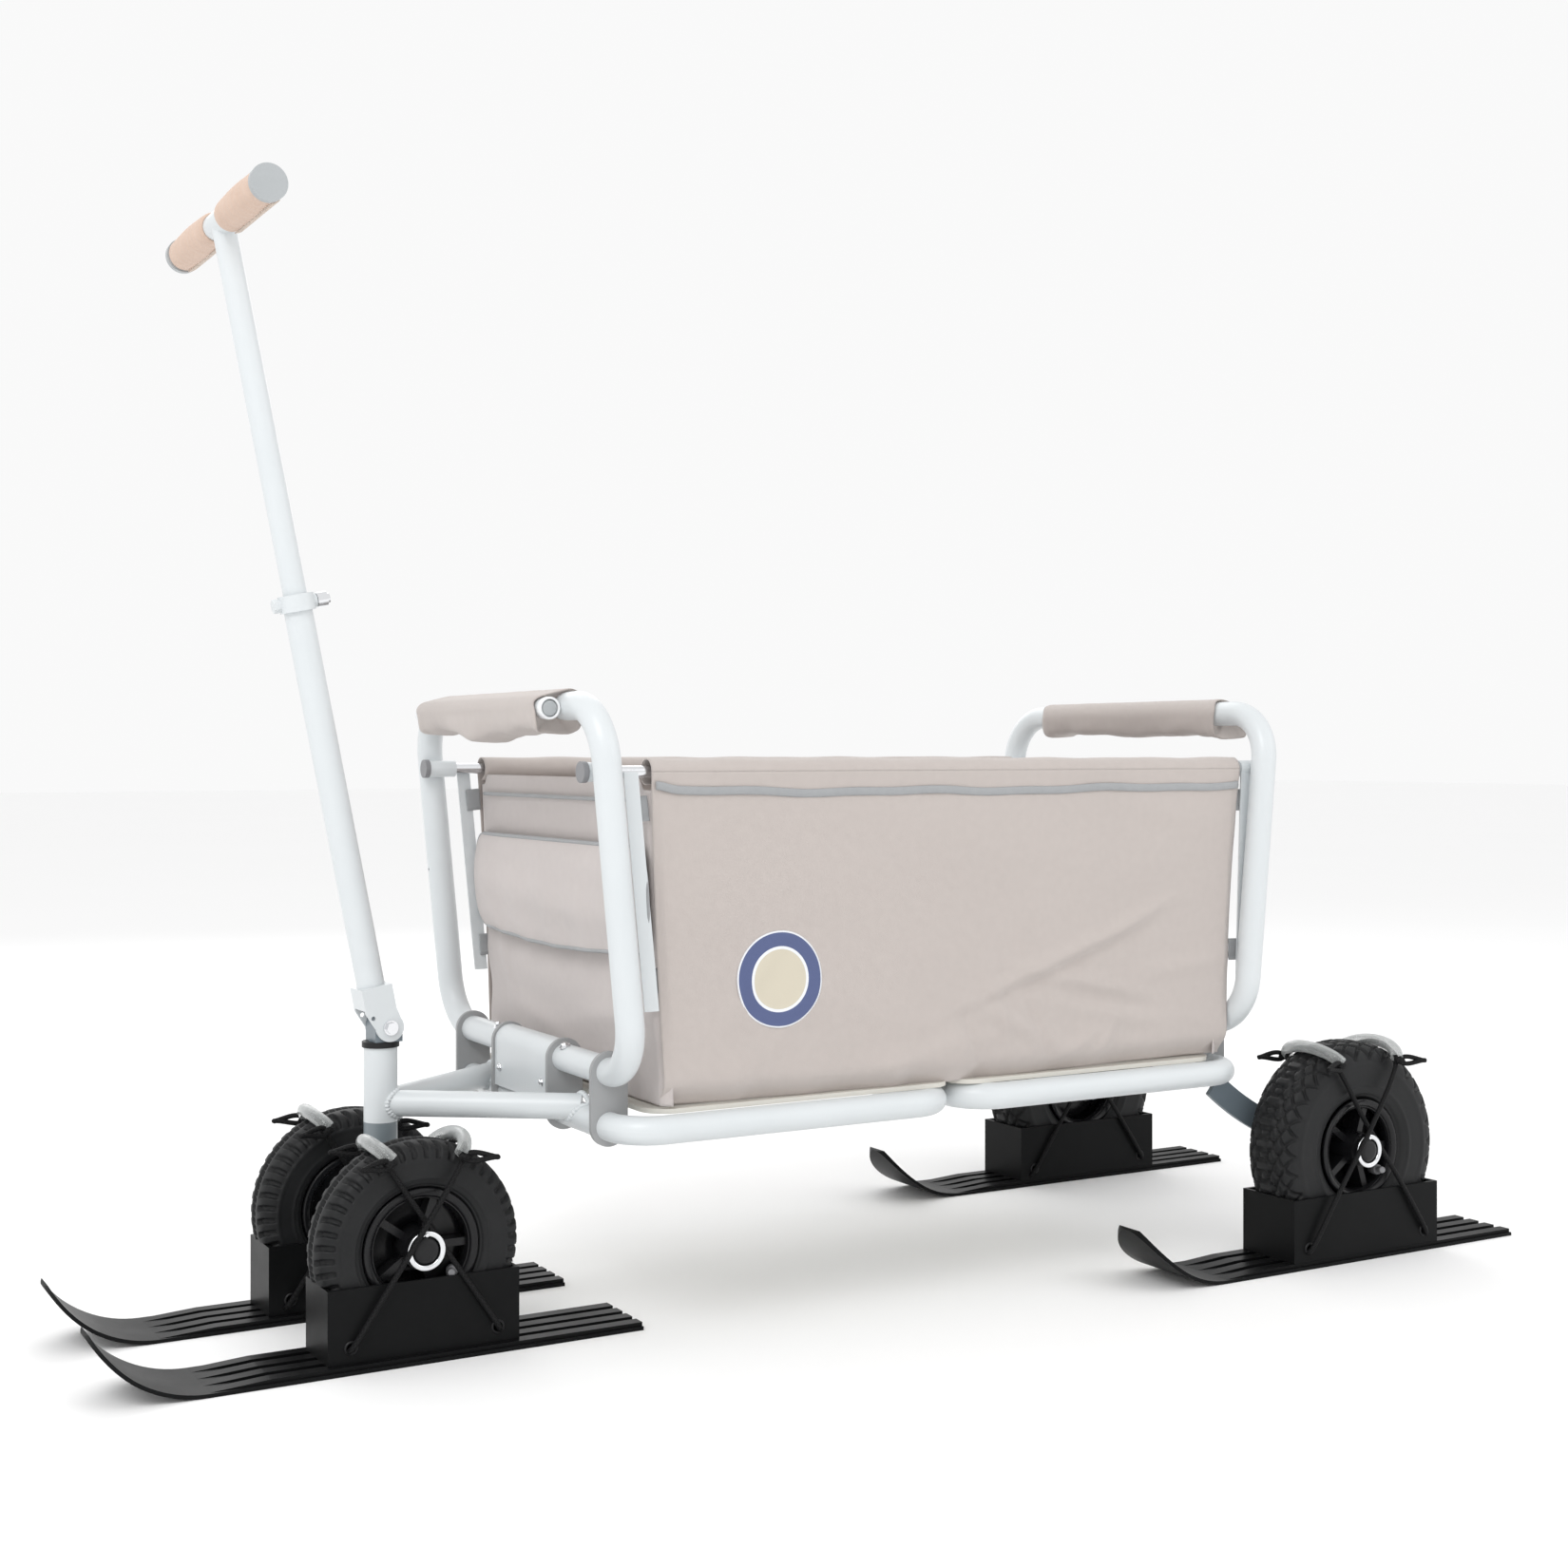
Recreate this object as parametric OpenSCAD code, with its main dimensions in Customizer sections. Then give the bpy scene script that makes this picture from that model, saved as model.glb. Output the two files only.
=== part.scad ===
// Folding beach cart on four snow and sand skis.
// +Z is up, -X is the drawbar end, the soles of the skis lie on Z = 0.
// The origin is under the middle of the cart's length, on its centre plane.

/* [Wheels and skis] */
// Distance between the front and rear axles
wheelbase = 1140; // [1080:5:1300]
// Diameter of the front tyres
front_tyre_d = 220; // [200:2:230]
// Diameter of the rear tyres
rear_tyre_d = 260; // [240:2:280]
// Width of the front tyres
front_tyre_w = 60; // [50:1:64]
// Width of the rear tyres
rear_tyre_w = 75; // [60:1:78]
// Outside diameter of all four wheel rims
rim_d = 120; // [110:1:130]
// Distance from the centre plane to the middle of a front wheel
front_track = 104; // [100:1:120]
// Distance from the centre plane to the middle of a rear wheel
rear_track = 271.5; // [268:0.5:300]
// Diameter of the axles
axle_d = 15; // [12:0.5:16]
// How far a tyre is pressed flat against the ski's deck
tyre_squash = 6; // [2:1:8]
// Reach of a front ski ahead of its axle
front_ski_tip = 330; // [300:5:360]
// Reach of a front ski behind its axle
front_ski_tail = 240; // [200:5:260]
// Reach of a rear ski ahead of its axle
rear_ski_tip = 338; // [300:5:345]
// Reach of a rear ski behind its axle
rear_ski_tail = 250; // [220:5:300]
// Width of a ski blade
ski_w = 96; // [90:1:110]
// Thickness of a ski blade
blade_t = 4; // [3:0.5:6]
// Height of the ribs along a ski, above the blade
rib_h = 4; // [2:0.5:6]
// Width of one rib
rib_w = 15; // [8:1:18]
// Radius of the upturned tip of a ski
tip_r = 125; // [125:5:160]
// Length of a front wheel box
front_box_len = 204; // [190:2:220]
// Length of a rear wheel box
rear_box_len = 240; // [220:2:260]
// Height of the wheel boxes' rims above the ground
box_top = 83; // [60:1:95]
// Wall of the wheel boxes
box_wall = 4; // [2:0.5:4.5]
// Diameter of the elastic cords
cord_d = 6; // [4:0.5:6]

/* [Base frame] */
// Diameter of the frame tubes
tube_d = 30; // [26:1:32]
// Wall of the frame tubes
tube_wall = 1.8; // [1.2:0.2:3]
// Distance from the steering axis to the base's front cross tube
head_reach = 180; // [168:2:200]
// Distance from a base end tube to the fold line in the middle
base_half = 409; // [400:1:450]
// Distance from the centre plane to a base side tube
base_half_w = 240; // [232:1:244]
// Height of the base tubes' axes
base_z = 230; // [226:1:250]
// Corner radius of the base loops
base_corner = 42; // [36:1:44]
// Gap between the two base loops at the fold line
loop_gap = 2; // [1:0.5:4]
// Thickness of the floor boards
board_t = 5; // [4:0.5:8]
// Distance from the centre plane to a floor board's side
board_half_w = 236; // [190:1:238]
// Thickness of the hoop plates
plate_t = 5; // [3:0.5:8]
// Distance from the centre plane to an inner hoop plate
plate_in_y = 78; // [74:1:90]
// Distance from the centre plane to an outer hoop plate
plate_out_y = 192; // [180:1:193]
// Distance from the centre plane to a fold hinge
hinge_y = 140; // [100:5:160]
// Diameter of the fold hinge pins
hinge_pin_d = 8; // [6:0.5:9]
// Height of the curved rear struts
strut_h = 30; // [24:1:32]
// Thickness of the rear struts
strut_t = 6; // [4:0.5:6]
// Sag of the strut's curve
strut_sag = 10.5; // [6:0.5:16]

/* [End hoops and rails] */
// Height of the hoops' bottom tubes, which they turn on
hoop_z = 287; // [284:1:292]
// Height of the hoops' top bars
hoop_top_z = 666; // [640:2:700]
// Distance from the centre plane to a hoop leg
hoop_half_w = 254; // [250:1:262]
// Corner radius of the hoops
hoop_corner = 58; // [48:1:60]
// Outward lean of the hoops, in degrees
hoop_lean = 5.5; // [4:0.5:7]
// Height of the side rails
rail_z = 598; // [590:1:606]
// Diameter of the rail sockets
socket_d = 20; // [19:0.5:22]
// Diameter of the bright rail rods
rod_d = 13; // [12:0.5:16]
// Outside diameter of the rail tubes that the rods slide in
rail_tube_d = 22; // [21:0.5:23]
// Running clearance between a rod and its rail tube, all round
rod_clear = 0.35; // [0.3:0.05:0.5]
// Length of the rail tubes
rail_tube_len = 515; // [480:5:520]
// Length of rod that stays inside its rail tube at full width
rod_overlap = 60; // [50:5:80]
// Diameter of the extra bar beside each top bar
extra_bar_d = 22; // [18:1:24]
// Length of the extra bars
extra_bar_len = 372; // [320:2:376]
// Width of the handle covers
cover_len = 350; // [300:2:360]
// Padding of the handle covers over the bars
cover_pad = 7; // [4:0.5:9]

/* [Fabric] */
// Distance from the centre plane to a side panel
fabric_half_w = 241.5; // [241:0.5:244]
// Thickness of the fabric panels
fabric_t = 2; // [1.5:0.1:2.5]
// Distance from the fold line to the top of the front panel
panel_top_x = 384; // [372:1:388]
// Distance from the fold line to the bottom of the front panel
panel_bottom_x = 368; // [358:1:370]
// Distance from the fold line to the top of the rear panel
rear_panel_top_x = 412; // [400:1:418]
// Distance from the fold line to the bottom of the rear panel
rear_panel_bottom_x = 390; // [380:1:396]
// Height of the panels' bottom edges
panel_bottom_z = 270; // [268:1:280]

/* [Steering and drawbar] */
// Outside diameter of the head tube
head_d = 36; // [34:1:40]
// Wall of the head tube
head_wall = 2.5; // [2:0.5:3]
// Height of the head tube's lower end
head_bottom = 196; // [192:1:200]
// Height of the head tube's upper end
head_top = 302; // [298:1:306]
// Diameter of the yoke arms
arm_d = 28; // [24:1:30]
// Height of the yoke arms' axes
arm_z = 241; // [238:1:246]
// Distance from the centre plane to where an arm meets the cross tube
arm_y = 128; // [110:2:150]
// Diameter of the steering spindle
spindle_d = 25; // [20:0.5:26]
// Height of the bolt that the drawbar tilts on
pivot_z = 324; // [323:1:330]
// Forward offset of that bolt from the steering axis
pivot_x = 4; // [0:1:6]
// Diameter of the drawbar's pivot bolt
pivot_bolt_d = 8; // [6:0.5:10]
// Forward lean of the drawbar at rest, in degrees
drawbar_lean = 11.2; // [8:0.2:16]
// Length of the drawbar, from its bolt to the handle's axis
drawbar_len = 860; // [760:5:960]
// Length of the lower drawbar tube's top end from the bolt
lower_tube_end = 470; // [430:5:480]
// Diameter of the lower drawbar tube
lower_tube_d = 30; // [28:0.5:32]
// Diameter of the upper drawbar tube
upper_tube_d = 25; // [22:0.5:25]
// Clearance between the two drawbar tubes, all round
slide_clear = 0.4; // [0.3:0.05:0.6]
// Length of upper tube that stays inside the lower one
slide_overlap = 80; // [60:5:100]
// Full width of the T handle
handle_w = 344; // [300:2:380]
// Diameter of the leather grips
grip_d = 37; // [34:1:40]

/* [Hidden] */
$fn = 64;
eps = 0.01;

silver = "#d8dcdd";
steel_grey = "#7c868c";
plate_grey = "#9fa2a3";
taupe = "#cbc0b9";
chrome = "#e6e8ea";
black = "#1c1d1f";

// Places along the cart
total_len = front_ski_tip + wheelbase + rear_ski_tail;
front_x = front_ski_tip - total_len / 2;
rear_x = front_x + wheelbase;
mid_x = front_x + head_reach + base_half;
deck_z = blade_t + rib_h;
front_axle_z = deck_z + front_tyre_d / 2 - tyre_squash;
rear_axle_z = deck_z + rear_tyre_d / 2 - tyre_squash;

// Frame tubes
tube_r = tube_d / 2;
loop_near_x = loop_gap / 2 + tube_r;
loop_len = base_half - loop_near_x;
loop_centre = (base_half + loop_near_x) / 2;
base_top = base_z + tube_r;
turn_clear = 0.05;
plate_r = tube_r + 6;
housing_clear = 1.5;
housing_t = 2;
housing_half_w = plate_in_y - plate_t / 2;
hinge_z = base_z - tube_r - hinge_pin_d;
barrel_r = hinge_pin_d / 2 + 3;
knuckle_w = 16;
knuckle_gap = 0.4;
board_mid_gap = 2;
board_corner = 30;
board_end = base_half - plate_r - 7;

// Hoops and rails
lean_run = tan(hoop_lean);
hoop_h = (hoop_top_z - hoop_z) / cos(hoop_lean);
function hoop_x(z) = base_half + (z - hoop_z) * lean_run;
leg_x = hoop_x(rail_z);
socket_r = socket_d / 2;
rod_r = rod_d / 2;
rail_y = hoop_half_w - tube_r - socket_r;
socket_out = 16;
socket_in = 20;
cap_t = 3;
cap_lap = 3;
cap_wall = 1;
sleeve_in_r = rail_tube_d / 2 + 0.8;
sleeve_out_r = fabric_half_w + fabric_t / 2 - rail_y + 0.5;
rail_tube_rear = rear_panel_top_x + 2;
extra_bar_off = tube_r + extra_bar_d / 2 + 1;

// Steering and drawbar
bush_flange = 6;
bush_len = 20;
bush_clear = 0.05;
lug_half_w = 16.5;
lug_r = 15;
cheek_t = 3.5;
cheek_gap = 0.5;
clevis_len = 46;
clevis_half_x = 17;
column_top = head_bottom - bush_flange - 0.1;
axle_tube_r = 13;
axle_tube_half = 50;
collar_len = 18;
collar_r = lower_tube_d / 2 + 4;
grip_inner = 26;
grip_cap_t = 8;
screw_d = 8;

// Wheels
front_hub_half = front_tyre_w / 2 + 1;
rear_hub_half = rear_tyre_w / 2 + 1;
hub_r = 21;
box_gap = 2.5;
cover_gap = 0.15;
tip_run = 110;
rib_rise = 60;

// Elastic cords: points of one cord in its wheel's own place, as X behind the
// axle, Y outwards and Z above the ground. Cord A runs from the box's front
// holes over the rear of the tyre, cord B the other way.
front_cord_a = [
    [-79, 29, 22], [-77, 41, 26], [-44, 44, 76], [0, 44.6, 142], [38, 39, 198],
    [46, 22, 215], [49, 0, 219], [46, -22, 215], [38, -38, 198], [0, -44.5, 142],
    [-77, -41, 26], [-79, -29, 22]
];
front_cord_b = [
    [79, 29, 22], [77, 41, 26], [44, 40.5, 76], [0, 34.5, 142], [-38, 37, 198],
    [-46, 22, 215], [-49, 0, 219], [-46, -22, 215], [-38, -37, 198], [0, -36, 142],
    [44, -40.5, 76], [77, -41, 26], [79, -29, 22]
];
rear_cord_a = [
    [-97, 36, 22], [-95, 49, 26], [-52, 52, 92], [2, 52.4, 168], [46, 46, 232],
    [55, 26, 250], [58, 0, 256], [55, -26, 250], [46, -45, 232], [2, -47.5, 168],
    [-95, -47.5, 26], [-97, -36, 22]
];
rear_cord_b = [
    [97, 36, 22], [95, 48, 26], [52, 47.8, 90], [-2, 42, 168], [-46, 44, 232],
    [-55, 26, 250], [-58, 0, 256], [-55, -26, 250], [-46, -43, 232], [-2, -41, 168],
    [52, -47.8, 90], [95, -48, 26], [97, -36, 22]
];

// ---------- helpers ----------

module mirror_y() {
    children();
    mirror([0, 1, 0]) children();
}

// A closed rounded rectangle of round bar, len along X and wide along Y
module round_loop(len, wide, corner, r) {
    for (s = [-1, 1]) {
        translate([s * len / 2, corner - wide / 2, 0])
            rotate([-90, 0, 0]) cylinder(r = r, h = wide - 2 * corner);
        translate([corner - len / 2, s * wide / 2, 0])
            rotate([0, 90, 0]) cylinder(r = r, h = len - 2 * corner);
    }
    for (q = [0:3]) {
        sx = (q == 0 || q == 3) ? 1 : -1;
        sy = q < 2 ? 1 : -1;
        translate([sx * (len / 2 - corner), sy * (wide / 2 - corner), 0])
            rotate([0, 0, 90 * q]) rotate_extrude(angle = 90)
                translate([corner, 0]) circle(r = r);
    }
}

module tube_loop(len, wide, corner, drain) {
    difference() {
        round_loop(len, wide, corner, tube_r);
        round_loop(len, wide, corner, tube_r - tube_wall);
        translate(drain) cylinder(d = 4, h = tube_d, center = true);
    }
}

module tube(r, wall, h) {
    difference() {
        cylinder(r = r, h = h);
        translate([0, 0, -1]) cylinder(r = r - wall, h = h + 2);
    }
}

// ---------- base frame ----------

// end is -1 for the front half and 1 for the rear half
module at_mid() {
    translate([mid_x, 0, 0]) children();
}

module base_loop(end) {
    at_mid() translate([end * loop_centre, 0, base_z])
        tube_loop(loop_len, 2 * base_half_w, base_corner, [0, base_half_w, -tube_r]);
}

module base_loop_solid(end) {
    at_mid() translate([end * loop_centre, 0, base_z])
        round_loop(loop_len, 2 * base_half_w, base_corner, tube_r);
}

module floor_board(end) {
    x0 = end > 0 ? board_mid_gap : -board_end;
    at_mid() translate([x0 + board_corner, -board_half_w + board_corner, base_top])
        linear_extrude(board_t) offset(r = board_corner)
            square([board_end - board_mid_gap - 2 * board_corner,
                    2 * (board_half_w - board_corner)]);
}

module plate_outline() {
    translate([0, hoop_z]) circle(r = plate_r);
    translate([0, base_z]) circle(r = plate_r);
    translate([-plate_r, base_z]) square([2 * plate_r, hoop_z - base_z]);
}

module hoop_plates(end) {
    at_mid() translate([end * base_half, 0, 0])
        for (y = [-plate_out_y, -plate_in_y, plate_in_y, plate_out_y])
            translate([0, y + plate_t / 2, 0]) rotate([90, 0, 0])
                linear_extrude(plate_t) difference() {
                    plate_outline();
                    translate([0, hoop_z]) circle(r = tube_r + turn_clear);
                    translate([0, base_z]) circle(r = tube_r);
                }
}

// Channel over the hoop's bottom tube, between the inner plates
module pivot_housing(end) {
    in_r = tube_r + housing_clear;
    out_r = in_r + housing_t;
    low_z = base_z + tube_r / 2;
    at_mid() translate([end * base_half, housing_half_w, 0]) rotate([90, 0, 0])
        linear_extrude(2 * housing_half_w) difference() {
            union() {
                translate([0, hoop_z]) circle(r = out_r);
                translate([-out_r, low_z]) square([2 * out_r, hoop_z - low_z]);
            }
            translate([0, hoop_z]) circle(r = in_r);
            translate([-in_r, low_z - 1]) square([2 * in_r, hoop_z - low_z + 1]);
        }
}

// Curved bar from the base's rear corner down to the rear axle
module strut_bar() {
    x1 = base_half - 17;
    z1 = base_z - tube_r - 3;
    x2 = rear_x - mid_x;
    z2 = rear_axle_z;
    chord = norm([x2 - x1, z2 - z1]);
    arc_r = chord * chord / (8 * strut_sag) + strut_sag / 2;
    slope = atan2(z2 - z1, x2 - x1);
    half = asin(chord / 2 / arc_r);
    cx = (x1 + x2) / 2 - sin(slope) * (arc_r - strut_sag);
    cz = (z1 + z2) / 2 + cos(slope) * (arc_r - strut_sag);
    translate([cx, 0, cz]) rotate([90, 0, 0]) rotate([0, 0, slope - 90 - half])
        rotate_extrude(angle = 2 * half)
            translate([arc_r - strut_h / 2, 0]) square([strut_h, strut_t]);
}

module rear_strut() {
    strut_y = rear_track - rear_tyre_w / 2 - box_gap - box_wall - 7.5;
    axle_out = rear_track + rear_hub_half + 2;
    at_mid() difference() {
        union() {
            translate([0, -strut_y + strut_t, 0]) strut_bar();
            translate([rear_x - mid_x, -strut_y + strut_t, rear_axle_z])
                rotate([90, 0, 0]) cylinder(r = strut_h / 2 + 1, h = strut_t);
            translate([rear_x - mid_x, -strut_y + strut_t, rear_axle_z])
                rotate([90, 0, 0]) cylinder(d = axle_d, h = axle_out - strut_y + strut_t);
        }
        translate([-mid_x, 0, 0]) base_loop_solid(1);
    }
}

// Hinge leaves under a base loop: the rear half carries the middle knuckles,
// which grip the pins, and the front half the outer ones, which turn on them
module hinge_leaves(end) {
    side_w = 10;
    y0 = end > 0 ? -knuckle_w / 2 : knuckle_w / 2 + knuckle_gap;
    w = end > 0 ? knuckle_w : side_w;
    sides = end > 0 ? [0] : [0, 1];
    bore_r = hinge_pin_d / 2 + (end > 0 ? 0 : turn_clear);
    difference() {
        at_mid() for (s = [-1, 1]) translate([0, s * hinge_y, 0])
            for (c = sides) mirror([0, c, 0]) translate([0, y0 + w, 0])
                rotate([90, 0, 0]) linear_extrude(w) {
                    translate([0, hinge_z]) circle(r = barrel_r);
                    polygon([
                        [0, hinge_z - barrel_r], [end * (loop_near_x + 2), base_z - tube_r - 3],
                        [end * (loop_near_x + 10), base_z - tube_r + 1],
                        [end * (loop_near_x + 10), base_z - 6], [end * (loop_near_x - 9), base_z - 8],
                        [end * 5, hinge_z + 4]
                    ]);
                }
        base_loop_solid(end);
        at_mid() translate([0, 0, hinge_z]) rotate([90, 0, 0])
            cylinder(r = bore_r, h = 4 * hinge_y, center = true);
    }
}

module hinge_pins() {
    color(chrome) at_mid() for (s = [-1, 1])
        translate([0, s * hinge_y, hinge_z]) rotate([90, 0, 0])
            cylinder(d = hinge_pin_d, h = knuckle_w + 28, center = true);
}

// ---------- yoke and steering ----------

module yoke_arms() {
    reach = norm([head_reach, arm_y]);
    turn = atan2(arm_y, head_reach);
    color(silver) difference() {
        mirror_y() translate([front_x, 0, arm_z]) rotate([0, 90, turn])
            cylinder(d = arm_d, h = reach);
        translate([front_x, 0, head_bottom]) cylinder(d = head_d, h = head_top - head_bottom);
        base_loop_solid(-1);
        translate([front_x + head_reach, -base_half_w, arm_z - arm_d])
            cube([head_reach, 2 * base_half_w, 2 * arm_d]);
    }
}

module head_tube() {
    color(silver) translate([front_x, 0, head_bottom])
        tube(head_d / 2, head_wall, head_top - head_bottom);
}

module head_bush() {
    difference() {
        union() {
            cylinder(r = head_d / 2 + 2, h = bush_flange);
            translate([0, 0, -bush_len])
                cylinder(r = head_d / 2 - head_wall, h = bush_len + eps);
        }
        translate([0, 0, -bush_len - 1])
            cylinder(r = spindle_d / 2 + bush_clear, h = bush_len + bush_flange + 2);
    }
}

module head_bushes() {
    color(black) translate([front_x, 0, 0]) {
        translate([0, 0, head_top]) head_bush();
        translate([0, 0, head_bottom]) mirror([0, 0, 1]) head_bush();
    }
}

// Column below, shaft through the head tube, and the drawbar's lug on top
module steering_spindle() {
    shoulder = head_top + bush_flange + 0.1;
    color(steel_grey) difference() {
        union() {
            translate([front_x, 0, front_axle_z]) cylinder(d = head_d, h = column_top - front_axle_z);
            translate([front_x, 0, column_top - eps]) cylinder(d = spindle_d, h = shoulder - column_top + 2);
            translate([front_x + pivot_x, 0, pivot_z]) rotate([90, 0, 0])
                cylinder(r = lug_r, h = 2 * lug_half_w, center = true);
            translate([front_x + pivot_x - lug_r, -lug_half_w, shoulder])
                cube([2 * lug_r, 2 * lug_half_w, pivot_z - shoulder]);
        }
        translate([front_x + pivot_x, 0, pivot_z]) rotate([90, 0, 0])
            cylinder(r = pivot_bolt_d / 2 + turn_clear, h = 3 * lug_half_w, center = true);
        translate([front_x, 0, front_axle_z]) rotate([90, 0, 0])
            cylinder(r = axle_tube_r, h = 2 * head_d, center = true);
        translate([front_x - head_d, -head_d, front_axle_z - head_d])
            cube([2 * head_d, 2 * head_d, head_d]);
    }
}

module front_axle() {
    color(steel_grey) translate([front_x, 0, front_axle_z]) rotate([90, 0, 0]) {
        cylinder(r = axle_tube_r, h = 2 * axle_tube_half, center = true);
        cylinder(d = axle_d, h = 2 * (front_track + front_hub_half + 2), center = true);
    }
}

// ---------- drawbar ----------

// The drawbar's own frame: origin on the bolt, +Z up along the drawbar
module on_drawbar() {
    translate([front_x + pivot_x, 0, pivot_z]) rotate([0, -drawbar_lean, 0]) children();
}
drawbar_off = -6;

module cheek_outline() {
    wide_z = lug_r + 5;
    circle(r = lug_r + 0.3);
    polygon([
        [-lug_r, 0], [lug_r, 0], [drawbar_off + clevis_half_x, wide_z],
        [drawbar_off + clevis_half_x, clevis_len], [drawbar_off - clevis_half_x, clevis_len],
        [drawbar_off - clevis_half_x, wide_z]
    ]);
}

module drawbar_clevis() {
    in_y = lug_half_w + cheek_gap;
    color(silver) on_drawbar() {
        difference() {
            union() {
                mirror_y() translate([0, in_y + cheek_t, 0]) rotate([90, 0, 0])
                    linear_extrude(cheek_t) cheek_outline();
                translate([drawbar_off - clevis_half_x, -in_y - eps, clevis_len - 4])
                    cube([2 * clevis_half_x, 2 * in_y + 2 * eps, 4]);
                translate([drawbar_off - clevis_half_x, -in_y - eps, lug_r + 8])
                    cube([3, 2 * in_y + 2 * eps, clevis_len - lug_r - 8]);
            }
            rotate([90, 0, 0])
                cylinder(d = pivot_bolt_d, h = 3 * lug_half_w, center = true);
            translate([drawbar_off - 10, 0, 14]) rotate([90, 0, 0])
                cylinder(d = 5, h = 4 * lug_half_w, center = true);
        }
    }
}

module drawbar_lower_tube() {
    bore = upper_tube_d / 2 + slide_clear;
    color(silver) on_drawbar() translate([drawbar_off, 0, clevis_len]) difference() {
        tube(lower_tube_d / 2, lower_tube_d / 2 - bore, lower_tube_end - clevis_len);
        translate([0, 0, lower_tube_end - clevis_len - collar_len / 2]) rotate([0, 90, 0])
            cylinder(r = screw_d / 2 + turn_clear, h = lower_tube_d);
    }
}

module drawbar_pivot_bolt() {
    out_y = lug_half_w + cheek_gap + cheek_t;
    color(chrome) on_drawbar() rotate([90, 0, 0]) {
        cylinder(d = pivot_bolt_d, h = 2 * out_y, center = true);
        translate([0, 0, out_y]) cylinder(d = 2 * pivot_bolt_d, h = 3);
        translate([0, 0, out_y + 3]) cylinder(d = 1.6 * pivot_bolt_d, h = 5, $fn = 6);
        translate([0, 0, -out_y - 3]) cylinder(d = 2 * pivot_bolt_d, h = 3);
        translate([0, 0, -out_y - 9]) cylinder(d = 1.6 * pivot_bolt_d, h = 6, $fn = 6);
    }
}

module clamp_collar() {
    color(silver) on_drawbar() translate([drawbar_off, 0, lower_tube_end - collar_len]) {
        difference() {
            union() {
                cylinder(r = collar_r, h = collar_len);
                translate([0, 0, collar_len / 2]) rotate([0, 90, 0])
                    cylinder(d = 14, h = 2 * collar_r + 4, center = true);
            }
            translate([0, 0, -1]) cylinder(d = lower_tube_d, h = collar_len + 2);
            translate([0, 0, collar_len / 2]) rotate([0, 90, 0])
                cylinder(r = screw_d / 2 + turn_clear, h = 3 * collar_r);
        }
        translate([-collar_r - 7, 0, collar_len / 2]) rotate([0, 90, 0])
            cylinder(d = 15, h = 5 + eps, $fn = 6);
    }
}

// Hand screw at the back of the collar, pressing on the sliding tube
module clamp_screw() {
    start = upper_tube_d / 2 + 0.35;
    head_x = collar_r + 2.3;
    color(chrome) on_drawbar()
        translate([drawbar_off, 0, lower_tube_end - collar_len / 2]) rotate([0, 90, 0]) {
            translate([0, 0, start]) cylinder(d = screw_d, h = head_x - start + eps);
            translate([0, 0, head_x]) cylinder(d = 16, h = 11);
            translate([0, 0, head_x + 11 - eps]) cylinder(d = 11, h = 3);
        }
}

module handle_tube() {
    inside = lower_tube_end - slide_overlap;
    cross_r = grip_d / 2 - 4.5;
    color(silver) on_drawbar() difference() {
        union() {
            translate([drawbar_off, 0, inside]) cylinder(d = upper_tube_d, h = drawbar_len - inside);
            translate([drawbar_off, 0, drawbar_len]) rotate([90, 0, 0])
                cylinder(r = cross_r, h = handle_w - 2 * grip_cap_t, center = true);
        }
        translate([drawbar_off, 0, inside - 1])
            cylinder(r = upper_tube_d / 2 - 1.5, h = drawbar_len - inside - cross_r + 1);
        translate([drawbar_off, 0, drawbar_len]) rotate([90, 0, 0])
            cylinder(r = cross_r - 1.8, h = handle_w, center = true);
    }
}

module handle_grips() {
    grip_len = handle_w / 2 - grip_cap_t - grip_inner;
    color("#c9ae9c") on_drawbar() translate([drawbar_off, 0, drawbar_len])
        mirror_y() translate([0, handle_w / 2 - grip_cap_t, 0]) rotate([90, 0, 0])
            tube(grip_d / 2, 4.5, grip_len);
}

module grip_end_caps() {
    color(plate_grey) on_drawbar() translate([drawbar_off, 0, drawbar_len])
        mirror_y() translate([0, handle_w / 2, 0]) rotate([90, 0, 0])
            cylinder(d = grip_d, h = grip_cap_t);
}

// ---------- hoops and rails ----------

// The hoop's own plane: +X up the legs from the bottom tube, Y across
module on_hoop(end) {
    at_mid() translate([end * base_half, 0, hoop_z])
        rotate([0, end * hoop_lean, 0]) rotate([0, -90, 0]) children();
}

module hoop_tube(end) {
    color(silver) on_hoop(end) translate([hoop_h / 2, 0, 0])
        tube_loop(hoop_h, 2 * hoop_half_w, hoop_corner, [0, hoop_half_w, -end * tube_r]);
}

module hoop_solid(end) {
    on_hoop(end) translate([hoop_h / 2, 0, 0])
        round_loop(hoop_h, 2 * hoop_half_w, hoop_corner, tube_r);
}

// x runs outwards from the fold line, along the rail
module on_rail(end, x) {
    at_mid() mirror_y() translate([end * x, -rail_y, rail_z])
        rotate([0, -end * 90, 0]) children();
}

module rail_sockets(end) {
    color(silver) difference() {
        on_rail(end, leg_x + socket_out) tube(socket_r, socket_r - rod_r, socket_out + socket_in);
        hoop_solid(end);
    }
}

module socket_caps(end) {
    color(black) on_rail(end, leg_x + socket_out + cap_t)
        difference() {
            cylinder(r = socket_r + cap_wall, h = cap_t + cap_lap);
            translate([0, 0, cap_t]) cylinder(r = socket_r, h = cap_lap + 1);
        }
}

module rail_rods_front() {
    outer = leg_x + socket_out - 10;
    inner = rail_tube_len - rail_tube_rear - rod_overlap;
    color(chrome) on_rail(-1, outer) cylinder(r = rod_r, h = outer - inner);
}

module rail_rods_rear() {
    color(chrome) on_rail(1, leg_x + socket_out - 10)
        cylinder(r = rod_r, h = leg_x + socket_out - 10 - rail_tube_rear);
}

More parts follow.
